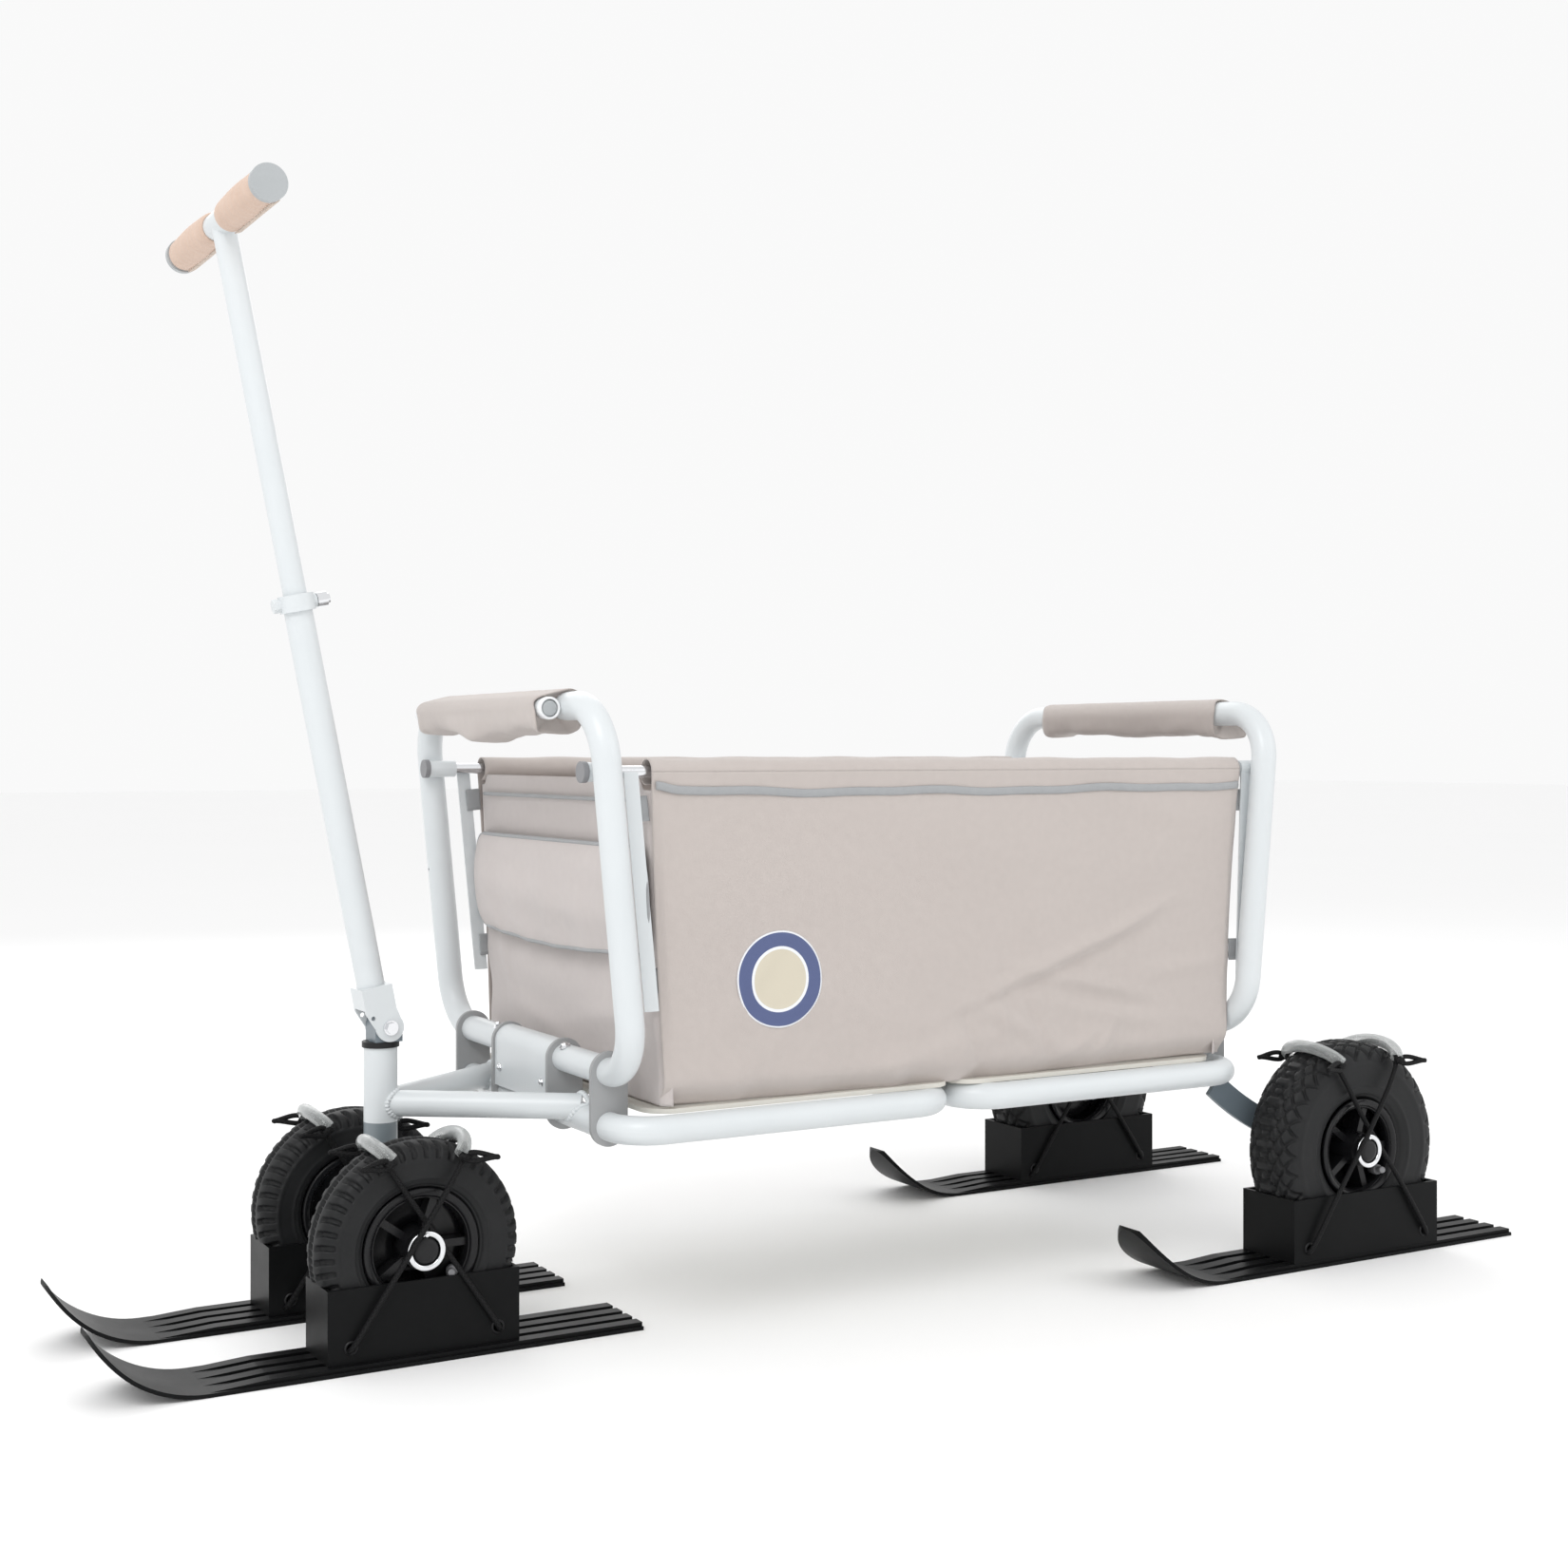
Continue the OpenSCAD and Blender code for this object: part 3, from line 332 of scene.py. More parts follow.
class Finish:
    """A material under construction: its tree, its Principled shader and coordinates."""

    def __init__(self, name, roughness, metallic=0.0, **sockets):
        self.material = bpy.data.materials.new(name)
        self.material.use_nodes = True
        self.tree = self.material.node_tree
        self.shader = self.tree.nodes["Principled BSDF"]
        self.shader.inputs["Roughness"].default_value = roughness
        self.shader.inputs["Metallic"].default_value = metallic
        for socket, value in sockets.items():
            self.shader.inputs[socket.replace("_", " ")].default_value = value
        self.place = self.tree.nodes.new("ShaderNodeTexCoord")
        self.object = self.place.outputs["Object"]
        self.uv = self.place.outputs["UV"]

    def use(self, group, vector, **values):
        """Place a shared node group, set its values and give its outputs."""
        node = self.tree.nodes.new("ShaderNodeGroup")
        node.node_tree = group
        self.tree.links.new(vector, node.inputs["Vector"])
        for socket, value in values.items():
            node.inputs[socket.replace("_", " ")].default_value = value
        return node.outputs

    def blend_colours(self, mask, low, high):
        """Base colour from low to high by the mask; either may be a socket."""
        mix = self.tree.nodes.new("ShaderNodeMix")
        mix.data_type = "RGBA"
        self.tree.links.new(mask, mix.inputs[0])
        for socket, value in ((mix.inputs[6], low), (mix.inputs[7], high)):
            if isinstance(value, tuple):
                socket.default_value = (*value, 1)
            else:
                self.tree.links.new(value, socket)
        self.tree.links.new(mix.outputs[2], self.shader.inputs["Base Color"])
        return mix.outputs[2]

    def vary_roughness(self, mask, low, high):
        """Roughness runs from low to high with the mask."""
        spread = math_node(self.tree, "MULTIPLY", mask, high - low)
        self.tree.links.new(math_node(self.tree, "ADD", spread, low),
                            self.shader.inputs["Roughness"])

    def bump(self, height, distance, strength=1.0, over=None):
        """Relief from a height, laid over another normal if one is given."""
        node = self.tree.nodes.new("ShaderNodeBump")
        node.inputs["Distance"].default_value = distance
        node.inputs["Strength"].default_value = strength
        self.tree.links.new(height, node.inputs["Height"])
        if over:
            self.tree.links.new(over, node.inputs["Normal"])
        self.tree.links.new(node.outputs[0], self.shader.inputs["Normal"])
        return node.outputs[0]


def paint(name, low, high, roughness, coat=0.0, dark_below=None):
    """Powder coat: faint patches of tone and an orange-peel surface.  Below the height
    dark_below, if it is given, the paint is the running gear's darker grey."""
    finish = Finish(name, roughness, Coat_Weight=coat, Coat_Roughness=0.25)
    mottle = finish.use(MOTTLE, finish.object, Patch_scale=9.0, Grain_scale=650.0)
    tone = finish.blend_colours(mottle["Patches"], low, high)
    if dark_below:
        split = finish.tree.nodes.new("ShaderNodeSeparateXYZ")
        finish.tree.links.new(finish.object, split.inputs[0])
        lower = math_node(finish.tree, "LESS_THAN", split.outputs[2], dark_below)
        finish.blend_colours(lower, tone, (0.20, 0.235, 0.255))
    finish.vary_roughness(mottle["Grain"], roughness - 0.06, roughness + 0.08)
    finish.bump(mottle["Grain"], 0.00012, 0.5)
    return finish.material


def cloth(name, low, high, threads=900.0, distance=0.00035, sheen=0.25, use_uv=True):
    """Canvas: a woven bump on the cloth's own UV, slubs in the tone and a soft sheen."""
    finish = Finish(name, 0.9, Sheen_Weight=sheen, Sheen_Roughness=0.6)
    place = finish.uv if use_uv else finish.object
    weave = finish.use(WEAVE, place, Threads_per_metre=threads)
    mottle = finish.use(MOTTLE, finish.object, Patch_scale=5.0, Grain_scale=220.0)
    tone = math_node(finish.tree, "ADD", math_node(finish.tree, "MULTIPLY", weave["Slub"], 0.6),
                     math_node(finish.tree, "MULTIPLY", mottle["Patches"], 0.4))
    finish.blend_colours(tone, low, high)
    finish.vary_roughness(weave["Height"], 0.95, 0.8)
    finish.bump(weave["Height"], distance, 0.6)
    return finish.material


def plastic(name, low, high, roughness, grain=0.0001, specular=0.5, dust=0.0):
    """Moulded plastic: fine grain, uneven gloss and a little dust on top."""
    finish = Finish(name, roughness, Specular_IOR_Level=specular)
    mottle = finish.use(MOTTLE, finish.object, Patch_scale=14.0, Grain_scale=900.0)
    dusty = finish.use(DUST, finish.object, Amount=dust)
    base = finish.blend_colours(mottle["Patches"], low, high)
    finish.blend_colours(dusty["Mask"], base, (0.16, 0.155, 0.15))
    finish.vary_roughness(mottle["Patches"], roughness - 0.08, roughness + 0.12)
    finish.bump(mottle["Grain"], grain, 0.6)
    return finish.material


def metal(name, colour, roughness, brushed=0.0):
    """Bright metal with fine scratches along its length."""
    finish = Finish(name, roughness, 1.0)
    mottle = finish.use(MOTTLE, finish.object, Patch_scale=30.0, Grain_scale=1500.0)
    finish.blend_colours(mottle["Patches"], tuple(0.86 * c for c in colour), colour)
    finish.vary_roughness(mottle["Patches"], roughness * 0.7, roughness * 1.5 + brushed)
    finish.bump(mottle["Grain"], 0.00004, 0.4)
    return finish.material


def leather(name, low, high):
    """Leather: cells of grain, with painted shade darkening the creases and pores."""
    finish = Finish(name, 0.55, Sheen_Weight=0.1)
    cells = finish.tree.nodes.new("ShaderNodeTexVoronoi")
    cells.feature = "DISTANCE_TO_EDGE"
    cells.inputs["Scale"].default_value = 620.0
    finish.tree.links.new(finish.object, cells.inputs["Vector"])
    crease = math_node(finish.tree, "MULTIPLY", cells.outputs["Distance"], 2.2, clamp=True)
    mottle = finish.use(MOTTLE, finish.object, Patch_scale=25.0, Grain_scale=500.0)
    # the tone darkens towards the cell edges: painted shade in the creases
    tone = math_node(finish.tree, "MULTIPLY", mottle["Patches"],
                     math_node(finish.tree, "ADD", math_node(finish.tree, "MULTIPLY", crease, 0.3),
                               0.7))
    finish.blend_colours(tone, low, high)
    finish.vary_roughness(crease, 0.7, 0.48)
    finish.bump(crease, 0.0003, 0.6)
    return finish.material


def rubber(name, low, high, roughness, dust):
    """Rubber: dull patches, dust caught in the tread and a fine grain."""
    finish = Finish(name, roughness, Specular_IOR_Level=0.24)
    mottle = finish.use(MOTTLE, finish.object, Patch_scale=18.0, Grain_scale=700.0)
    dusty = finish.use(DUST, finish.object, Amount=dust)
    base = finish.blend_colours(mottle["Patches"], low, high)
    finish.blend_colours(dusty["Mask"], base, (0.15, 0.145, 0.135))
    finish.vary_roughness(mottle["Patches"], roughness - 0.12, roughness + 0.12)
    finish.bump(mottle["Grain"], 0.00025, 0.5)
    return finish.material


def braid(name, low, high):
    """Braided cord: two sets of strands crossing round the cord, on its own UV, with painted shade
    darkening the grooves between the strands.
    """
    finish = Finish(name, 0.6, Specular_IOR_Level=0.2)
    split = finish.tree.nodes.new("ShaderNodeSeparateXYZ")
    finish.tree.links.new(finish.uv, split.inputs[0])
    around = math_node(finish.tree, "MULTIPLY", split.outputs[0], TAU * 6)
    length = math_node(finish.tree, "MULTIPLY", split.outputs[1], TAU / 0.0045)
    strands = [math_node(finish.tree, "SINE", math_node(finish.tree, sign, around, length))
               for sign in ("ADD", "SUBTRACT")]
    height = math_node(finish.tree, "MAXIMUM", *strands)
    # colour follows the strands' height, lighter on their crowns and darker in the grooves: painted
    # shade in the grooves
    finish.blend_colours(math_node(finish.tree, "MULTIPLY", height, 1.0, clamp=True), low, high)
    finish.bump(height, 0.0003, 0.7)
    return finish.material


def clear_hose(name):
    """Clear PVC: thin and see-through, with cloudy streaks, a hard gloss, and edges that turn more
    opaque, partly the longer path through the cloudy wall and partly a painted reflection.
    """
    finish = Finish(name, 0.10, IOR=1.45, Coat_Weight=0.5)
    mottle = finish.use(MOTTLE, finish.object, Patch_scale=60.0, Grain_scale=300.0)
    finish.blend_colours(mottle["Patches"], (0.42, 0.44, 0.44), (0.62, 0.64, 0.63))
    finish.vary_roughness(mottle["Grain"], 0.06, 0.16)
    # opacity rises towards the edges, where the pale tint shows: partly the cloudy wall seen
    # end-on, partly a painted reflection
    facing = finish.tree.nodes.new("ShaderNodeLayerWeight")
    facing.inputs["Blend"].default_value = 0.45
    cloud = math_node(finish.tree, "MULTIPLY", mottle["Patches"], 0.30)
    edge = math_node(finish.tree, "MULTIPLY", facing.outputs["Facing"], 0.75)
    finish.tree.links.new(math_node(finish.tree, "ADD", cloud, edge, clamp=True),
                          finish.shader.inputs["Alpha"])
    return finish.material


SILVER = paint("silver_powder_coat", (0.63, 0.665, 0.68), (0.69, 0.72, 0.735), 0.36, coat=0.2)
COLUMN = paint("column_powder_coat", (0.63, 0.665, 0.68), (0.69, 0.72, 0.735), 0.36, coat=0.2,
               dark_below=0.222)
GREY = paint("grey_powder_coat", (0.13, 0.165, 0.19), (0.17, 0.205, 0.235), 0.36, coat=0.2)
PLATE = plastic("faded_grey_plastic", (0.30, 0.305, 0.31), (0.37, 0.375, 0.38), 0.45, dust=0.15)
CAP_GREY = plastic("pale_grey_plastic", (0.36, 0.38, 0.39), (0.43, 0.45, 0.46), 0.4)
BOARD = plastic("cream_board", (0.62, 0.60, 0.55), (0.68, 0.66, 0.60), 0.5, grain=0.0003)
STEEL = metal("bare_steel", (0.58, 0.60, 0.61), 0.35, 0.1)
CHROME = metal("bright_steel", (0.83, 0.84, 0.86), 0.14)
BLACK = plastic("black_plastic", (0.007, 0.007, 0.008), (0.012, 0.012, 0.013), 0.38,
                specular=0.3)
FADED_BLACK = plastic("faded_black_plastic", (0.20, 0.20, 0.21), (0.26, 0.26, 0.27), 0.42)
SKI = plastic("ski_plastic", (0.0045, 0.0048, 0.005), (0.008, 0.0083, 0.0087), 0.36,
              grain=0.00012, specular=0.09, dust=0.03)
RIM = plastic("rim_plastic", (0.005, 0.005, 0.006), (0.009, 0.009, 0.010), 0.26, specular=0.3)
TYRE = rubber("tyre_rubber", (0.008, 0.0085, 0.009), (0.016, 0.0165, 0.0175), 0.5, 0.16)
CORD = braid("elastic_cord", (0.002, 0.002, 0.002), (0.008, 0.008, 0.009))
# The two canvases below are one cloth in two tones: the first, darker one on the side walls,
# sleeves and handle covers is painted shade; the second, paler one on the end walls, pocket and
# floor cloth is painted light.
FABRIC = cloth("taupe_canvas", (0.475, 0.425, 0.40), (0.55, 0.495, 0.465))
FABRIC_PAINTED_LIGHT = cloth("taupe_canvas_painted_light", (0.53, 0.48, 0.465), (0.60, 0.55, 0.53))
BINDING = cloth("grey_binding", (0.30, 0.31, 0.32), (0.38, 0.39, 0.40), 1400.0, 0.0002)
LEATHER = leather("tan_leather", (0.56, 0.40, 0.31), (0.74, 0.565, 0.46))
THREAD = cloth("stitching_thread", (0.62, 0.52, 0.44), (0.75, 0.66, 0.58), 3000.0, 0.0001)
HOSE = clear_hose("clear_hose")
PLUG_WHITE = plastic("white_plug", (0.78, 0.79, 0.80), (0.85, 0.86, 0.87), 0.35)

CAD_FINISH = {
    "base_loop_rear": SILVER, "base_loop_front": SILVER, "hoop_tube_front": SILVER,
    "hoop_tube_rear": SILVER, "stays_front": SILVER, "stays_rear": SILVER,
    "extra_bar_front": SILVER, "extra_bar_rear": SILVER, "rail_sockets_front": SILVER,
    "rail_sockets_rear": SILVER, "pivot_housing_rear": SILVER, "pivot_housing_front": SILVER,
    "yoke_arms": SILVER, "head_tube": COLUMN, "drawbar_clevis": SILVER,
    "drawbar_lower_tube": SILVER, "clamp_collar": SILVER, "handle_tube": SILVER,
    "steering_spindle": GREY, "front_axle": GREY, "rear_struts": GREY,
    "hoop_plates_rear": PLATE, "hoop_plates_front": PLATE, "rail_tubes": CAP_GREY,
    "grip_end_caps": CAP_GREY, "hinge_leaves_rear": STEEL, "hinge_leaves_front": STEEL,
    "hinge_pins": CHROME, "rail_rods_front": CHROME, "rail_rods_rear": CHROME,
    "drawbar_pivot_bolt": CHROME, "clamp_screw": CHROME, "head_bushes": BLACK,
    "socket_caps_front": FADED_BLACK, "socket_caps_rear": FADED_BLACK,
    "floor_board_front": BOARD, "floor_board_rear": BOARD,
}
for corner in CORNERS:
    CAD_FINISH["rim_" + corner] = RIM
    CAD_FINISH["ski_" + corner] = SKI
for node_name, material in CAD_FINISH.items():
    mesh = NODES[node_name].data
    mesh.materials.clear()
    mesh.materials.append(material)

# ---------- tyres ----------


def tyre_points(centre, radius, half, rim_r, inside, blocks):
    """Squared-off ring: around the wheel by angle, and across it by phi from bead to
    bead, as half * sin(phi)^e sideways and a like power of cos(phi) outwards.  The
    tread's grooves are cut in from the crown and shoulders.  The part below the box's
    rim is pressed in by its end walls, and the sole is flat on the deck."""
    around = np.linspace(0, TAU, 640, endpoint=False)[:, None]
    phi = np.radians(np.linspace(-148, 148, 96))[None]
    widest = rim_r + (radius - rim_r) * 0.46
    square = lambda value: np.sign(value) * np.abs(value) ** 0.62
    side = half * square(np.sin(phi))
    outward = np.where(np.cos(phi) > 0, (radius - widest) * square(np.cos(phi)),
                       (widest - rim_r - 0.001) * square(np.cos(phi))
                       / square(-np.cos(math.radians(148))))
    degrees = np.degrees(np.abs(phi))
    if blocks == "bars":
        count, depth = 46, 0.0042
        phase = around * count / TAU + np.where(phi > 0, 0.5, 0.0) + 0.35 * np.sin(phi * 1.5)
        wave = np.abs((phase % 1.0) - 0.5) * 2
        cut = smoothstep(wave, 0.52, 0.70) * smoothstep(degrees, 12, 20)
        zigzag = np.abs(np.abs(side / half) - 0.10 - 0.05 * np.sin(around * count * 2))
        cut = np.maximum(cut, 1 - smoothstep(zigzag, 0.03, 0.06))
        window = 1 - smoothstep(degrees, 70, 78)
    else:
        count, depth = 30, 0.0036
        across = side / half * 2.6
        first = np.abs(((around * count / TAU + across) % 1.0) - 0.5) * 2
        second = np.abs(((around * count / TAU - across) % 1.0) - 0.5) * 2
        cut = np.maximum(smoothstep(first, 0.72, 0.86), smoothstep(second, 0.72, 0.86))
        window = 1 - smoothstep(degrees, 66, 76)
    ring = 0.0012 * np.exp(-((degrees - 104) / 3.0) ** 2) + 0.0009 * np.exp(
        -((degrees - 82) / 2.2) ** 2)
    rim_line = -0.0010 * np.exp(-((degrees - 128) / 3.0) ** 2)
    out = widest + outward - cut * window * depth * (0.35 + 0.65 * np.cos(phi / 1.6))
    wide = side + np.sign(side) * (ring + rim_line) - side / half * cut * window * depth * 0.6
    out, wide, turned = np.broadcast_arrays(out, wide, around)
    x = centre[0] + out * np.sin(turned)
    z = centre[2] + out * np.cos(turned)
    y = centre[1] + wide
    x = np.where(z < BOX_TOP + 0.0005,
                 centre[0] + np.clip(x - centre[0], -inside + 0.0004, inside - 0.0004), x)
    bulge = np.clip((DECK_Z + 0.012 - z) / 0.012, 0, 1) * 0.0015
    y = y + np.sign(wide) * bulge * (np.abs(wide) > 0.3 * half)
    z = np.maximum(z, DECK_Z + 0.0002)
    uv = np.stack(np.broadcast_arrays(turned / TAU, phi / TAU), -1)
    return np.stack([x, y, z], -1), uv


for corner in CORNERS:
    end = corner.split("_")[0]
    low, high = low_high("tyre_" + corner)
    centre = middle("rim_" + corner)
    rim_r = (low_high("rim_" + corner)[1][0] - low_high("rim_" + corner)[0][0]) / 2
    points, uv = tyre_points(centre, (high[0] - low[0]) / 2 - 0.0004, (high[1] - low[1]) / 2,
                             rim_r, BOX_INSIDE[end], "bars" if end == "front" else "diamonds")
    faces = grid_faces(*points.shape[:2], close_u=True)
    tyre = make_piece("tyre_skin_" + corner, points, faces, TYRE, "wheel_" + corner,
                      "tyre_rubber", uv)
    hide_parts("tyre_" + corner)

# ---------- hubs ----------

HUB_RING_REACH = {"front": 0.0406, "rear": 0.0486}
HUB_FACE = {"front": 0.031, "rear": 0.0385}
for corner in CORNERS:
    end = corner.split("_")[0]
    out = -1 if corner.endswith("near") else 1
    centre = middle("rim_" + corner)
    axis = (0, out, 0)
    reach, face = HUB_RING_REACH[end], HUB_FACE[end]
    ring = rounded([(0.0145, reach - 0.0036), (0.0200, reach - 0.0036), (0.0204, reach - 0.0010),
                    (0.0190, reach), (0.0160, reach - 0.0002), (0.0145, reach - 0.0012),
                    (0.0145, reach - 0.0036)], 0.0008)
    make_piece("hub_ring_" + corner, *gather([lathe_part(ring, centre, axis, 56)])[:2], CHROME,
               "wheel_" + corner, "bright_steel")
    cap = rounded([(0.0, reach + 0.0004), (0.0090, reach + 0.0002), (0.0125, reach - 0.0014),
                   (0.0138, reach - 0.0036), (0.0118, face - 0.001), (0.0, face - 0.001)], 0.0010)
    make_piece("hub_cap_" + corner, *gather([lathe_part(cap, centre, axis, 48)])[:2], BLACK,
               "wheel_" + corner, "rim_plastic")
    # split pin's head in the gap at the ring's top, and the valve stem beside the hub
    pin_at = centre + np.array([0, out * (reach - 0.002), 0.0165])
    pin = rounded([(0.0, 0.0032), (0.0022, 0.0032), (0.0026, 0.0), (0.0026, -0.006),
                   (0.0, -0.006)], 0.0008)
    make_piece("hub_pin_" + corner, *gather([lathe_part(pin, pin_at, axis, 20)])[:2], CHROME,
               "wheel_" + corner, "bright_steel")
    stem_from = centre + np.array([0.036, out * (face - 0.016), -0.030])
    lean = np.array([-0.35, out * 0.9, 0.15])
    stem = rounded([(0.0, 0.020), (0.0036, 0.020), (0.0042, 0.018), (0.0042, 0.008),
                    (0.0058, 0.007), (0.0066, 0.0), (0.0066, -0.010), (0.0, -0.010)], 0.0006)
    make_piece("valve_stem_" + corner, *gather([lathe_part(stem, stem_from, lean, 24)])[:2],
               FADED_BLACK, "wheel_" + corner, "rim_plastic")
    # closed web behind the spokes
    web = [(0.0205, -0.004), (0.030, -0.0055), (0.044, -0.0045), (0.0535, -0.001)]
    web_disc = make_piece("rim_web_" + corner, *gather([lathe_part(web, centre, axis, 60)])[:2],
                          RIM, "wheel_" + corner, "rim_plastic")
    solidify(web_disc, 0.0025)
    # flange rings that step down into the dish of the rim
    for inner in (1, -1):
        edge = 0.0205 if end == "front" else 0.028
        dish = rounded([(0.0600, edge + 0.0005), (0.0606, edge + 0.0046), (0.0580, edge + 0.0052),
                        (0.0545, edge + 0.0040), (0.0512, edge - 0.0010), (0.0508, edge - 0.014)],
                       0.0009)
        step = make_piece(f"rim_lip_{'outer' if inner > 0 else 'inner'}_{corner}",
                          *gather([lathe_part(dish, centre, (0, out * inner, 0), 72)])[:2], RIM,
                          "wheel_" + corner, "rim_plastic")
        solidify(step, 0.0012, -1.0)

# ---------- elastic cords, hoses and pull loops ----------

# Each route is (x behind the axle, y outwards, z above the ground), as in the frame.
CORD_ROUTES = {
    "front_a": [(-79, 29, 22), (-77, 41, 26), (-44, 44, 76), (0, 44.6, 142), (38, 39, 198),
                (46, 22, 215), (49, 0, 219), (46, -22, 215), (38, -38, 198), (0, -44.5, 142),
                (-77, -41, 26), (-79, -29, 22)],
    "front_b": [(79, 29, 22), (77, 41, 26), (44, 40.5, 76), (0, 34.5, 142), (-38, 37, 198),
                (-46, 22, 215), (-49, 0, 219), (-46, -22, 215), (-38, -37, 198), (0, -36, 142),
                (44, -40.5, 76), (77, -41, 26), (79, -29, 22)],
    "rear_a": [(-97, 36, 22), (-95, 49, 26), (-52, 52, 92), (2, 52.4, 168), (46, 46, 232),
               (55, 26, 250), (58, 0, 256), (55, -26, 250), (46, -45, 232), (2, -47.5, 168),
               (-95, -47.5, 26), (-97, -36, 22)],
    "rear_b": [(97, 36, 22), (95, 48, 26), (52, 47.8, 90), (-2, 42, 168), (-46, 44, 232),
               (-55, 26, 250), (-58, 0, 256), (-55, -26, 250), (-46, -43, 232), (-2, -41, 168),
               (52, -47.8, 90), (95, -48, 26), (97, -36, 22)],
}
CORD_R = 0.003
HOSE_R = 0.0062
for corner in CORNERS:
    end = corner.split("_")[0]
    out = -1 if corner.endswith("near") else 1
    centre = middle("rim_" + corner)
    for letter in "ab":
        route = np.array(CORD_ROUTES[f"{end}_{letter}"]) / 1000
        route = route * (1, out, 1) + (centre[0], centre[1], 0)
        path = curve_through(route, 150)
        cord = make_piece(f"elastic_cord_{letter}_{corner}",
                          *gather([tube_part(path, CORD_R, sides=12)])[:2], CORD,
                          "wheel_" + corner, "elastic_cord",
                          gather([tube_part(path, CORD_R, sides=12)])[2])
        if letter == "a":
            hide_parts("cords_" + corner)
        # the hose slides over the cord where it crosses the tread
        away = 1 if letter == "a" else -1
        crown = route[6]
        bow = np.radians(np.linspace(-78, 78, 40))
        spread = abs(route[4][1] - centre[1]) + 0.003
        top = np.stack([crown[0] - away * 0.016 * (1 - np.cos(bow)),
                        centre[1] + out * -spread * np.sin(bow),
                        crown[2] + 0.0015 - (crown[2] - route[4][2]) * 0.80 * (1 - np.cos(bow))],
                       -1)
        outer, faces, uv = tube_part(top, HOSE_R, sides=24, capped=False)
        hose = make_piece(f"hose_{letter}_{corner}", outer, faces, HOSE, "wheel_" + corner,
                          "elastic_cord", uv)
        solidify(hose, 0.0013, -1.0)
        # pull loops where the hose ends, pointing away from the wheel's middle
        for side_name, at in (("outer", top[0]), ("inner", top[-1])):
            swing = math.copysign(1, (at[1] - centre[1]))
            t = np.linspace(0, TAU, 40, endpoint=False)
            long_way = 0.0165 * (1 - np.cos(t)) - 0.002
            narrow = 0.0046 * np.sin(t) * (0.65 + 0.35 * np.cos(t * 0.5) ** 2)
            droop = -0.003 * (long_way / 0.034) ** 2 + 0.0015 * np.sin(2 * t)
            loop = np.stack([at[0] + away * (0.006 + long_way) * 0.94,
                             at[1] + swing * (0.004 + 0.30 * long_way) + narrow * 0.35,
                             at[2] - 0.003 + narrow * 0.8 + droop + 0.05 * long_way], -1)
            parts = [tube_part(loop, 0.0029, (0, 1, 0.2), 10, closed=True)]
            knot_path = np.stack([at[0] + away * np.linspace(-0.004, 0.010, 9),
                                  np.full(9, at[1] + swing * 0.0035),
                                  at[2] - 0.003 + 0.001 * np.sin(np.linspace(0, 6, 9))], -1)
            knot_r = 0.0050 * np.sqrt(np.clip(1 - np.linspace(-0.98, 0.98, 9) ** 2, 0.02, 1))
            parts.append(tube_part(knot_path, knot_r, (0, 0, 1), 12))
            make_piece(f"pull_loop_{side_name}_{letter}_{corner}", *gather(parts)[:2], CORD,
                       "wheel_" + corner, "elastic_cord", gather(parts)[2])

# grommets where the cords enter the boxes
for corner in CORNERS:
    end = corner.split("_")[0]
    low, high = low_high("tyre_" + corner)
    centre = middle("rim_" + corner)
    box_half = (high[1] - low[1]) / 2 + 0.0025 + 0.004
    hole_x = BOX_INSIDE[end] + 0.004 - 0.024
    collar = rounded([(0.0046, -0.0004), (0.0046, 0.0010), (0.0062, 0.0016), (0.0074, 0.0004),
                      (0.0074, -0.0004)], 0.0005)
    parts = [lathe_part(collar, (centre[0] + along_x * hole_x, centre[1] + side * box_half, 0.024),
                        (0, side, 0), 28)
             for along_x in (-1, 1) for side in (-1, 1)]
    make_piece("cord_grommets_" + corner, *gather(parts)[:2], BLACK, "wheel_" + corner,
               "ski_plastic")

# ---------- cloth: side panels with their sleeves ----------


def creases(u, v, seeds, strength):
    """Sum of soft ridges: each lies along a line through (u0, v0) at an angle, is a
    Gaussian across it and fades along it."""
    total = np.zeros(np.broadcast(u, v).shape)
    for u0, v0, angle, width, reach, height in seeds:
        a = math.radians(angle)
        du, dv = u - u0, v - v0
        down, across = du * math.cos(a) + dv * math.sin(a), -du * math.sin(a) + dv * math.cos(a)
        total += height * np.exp(-(across / width) ** 2) * np.exp(-(down / reach) ** 2)
    return total * strength


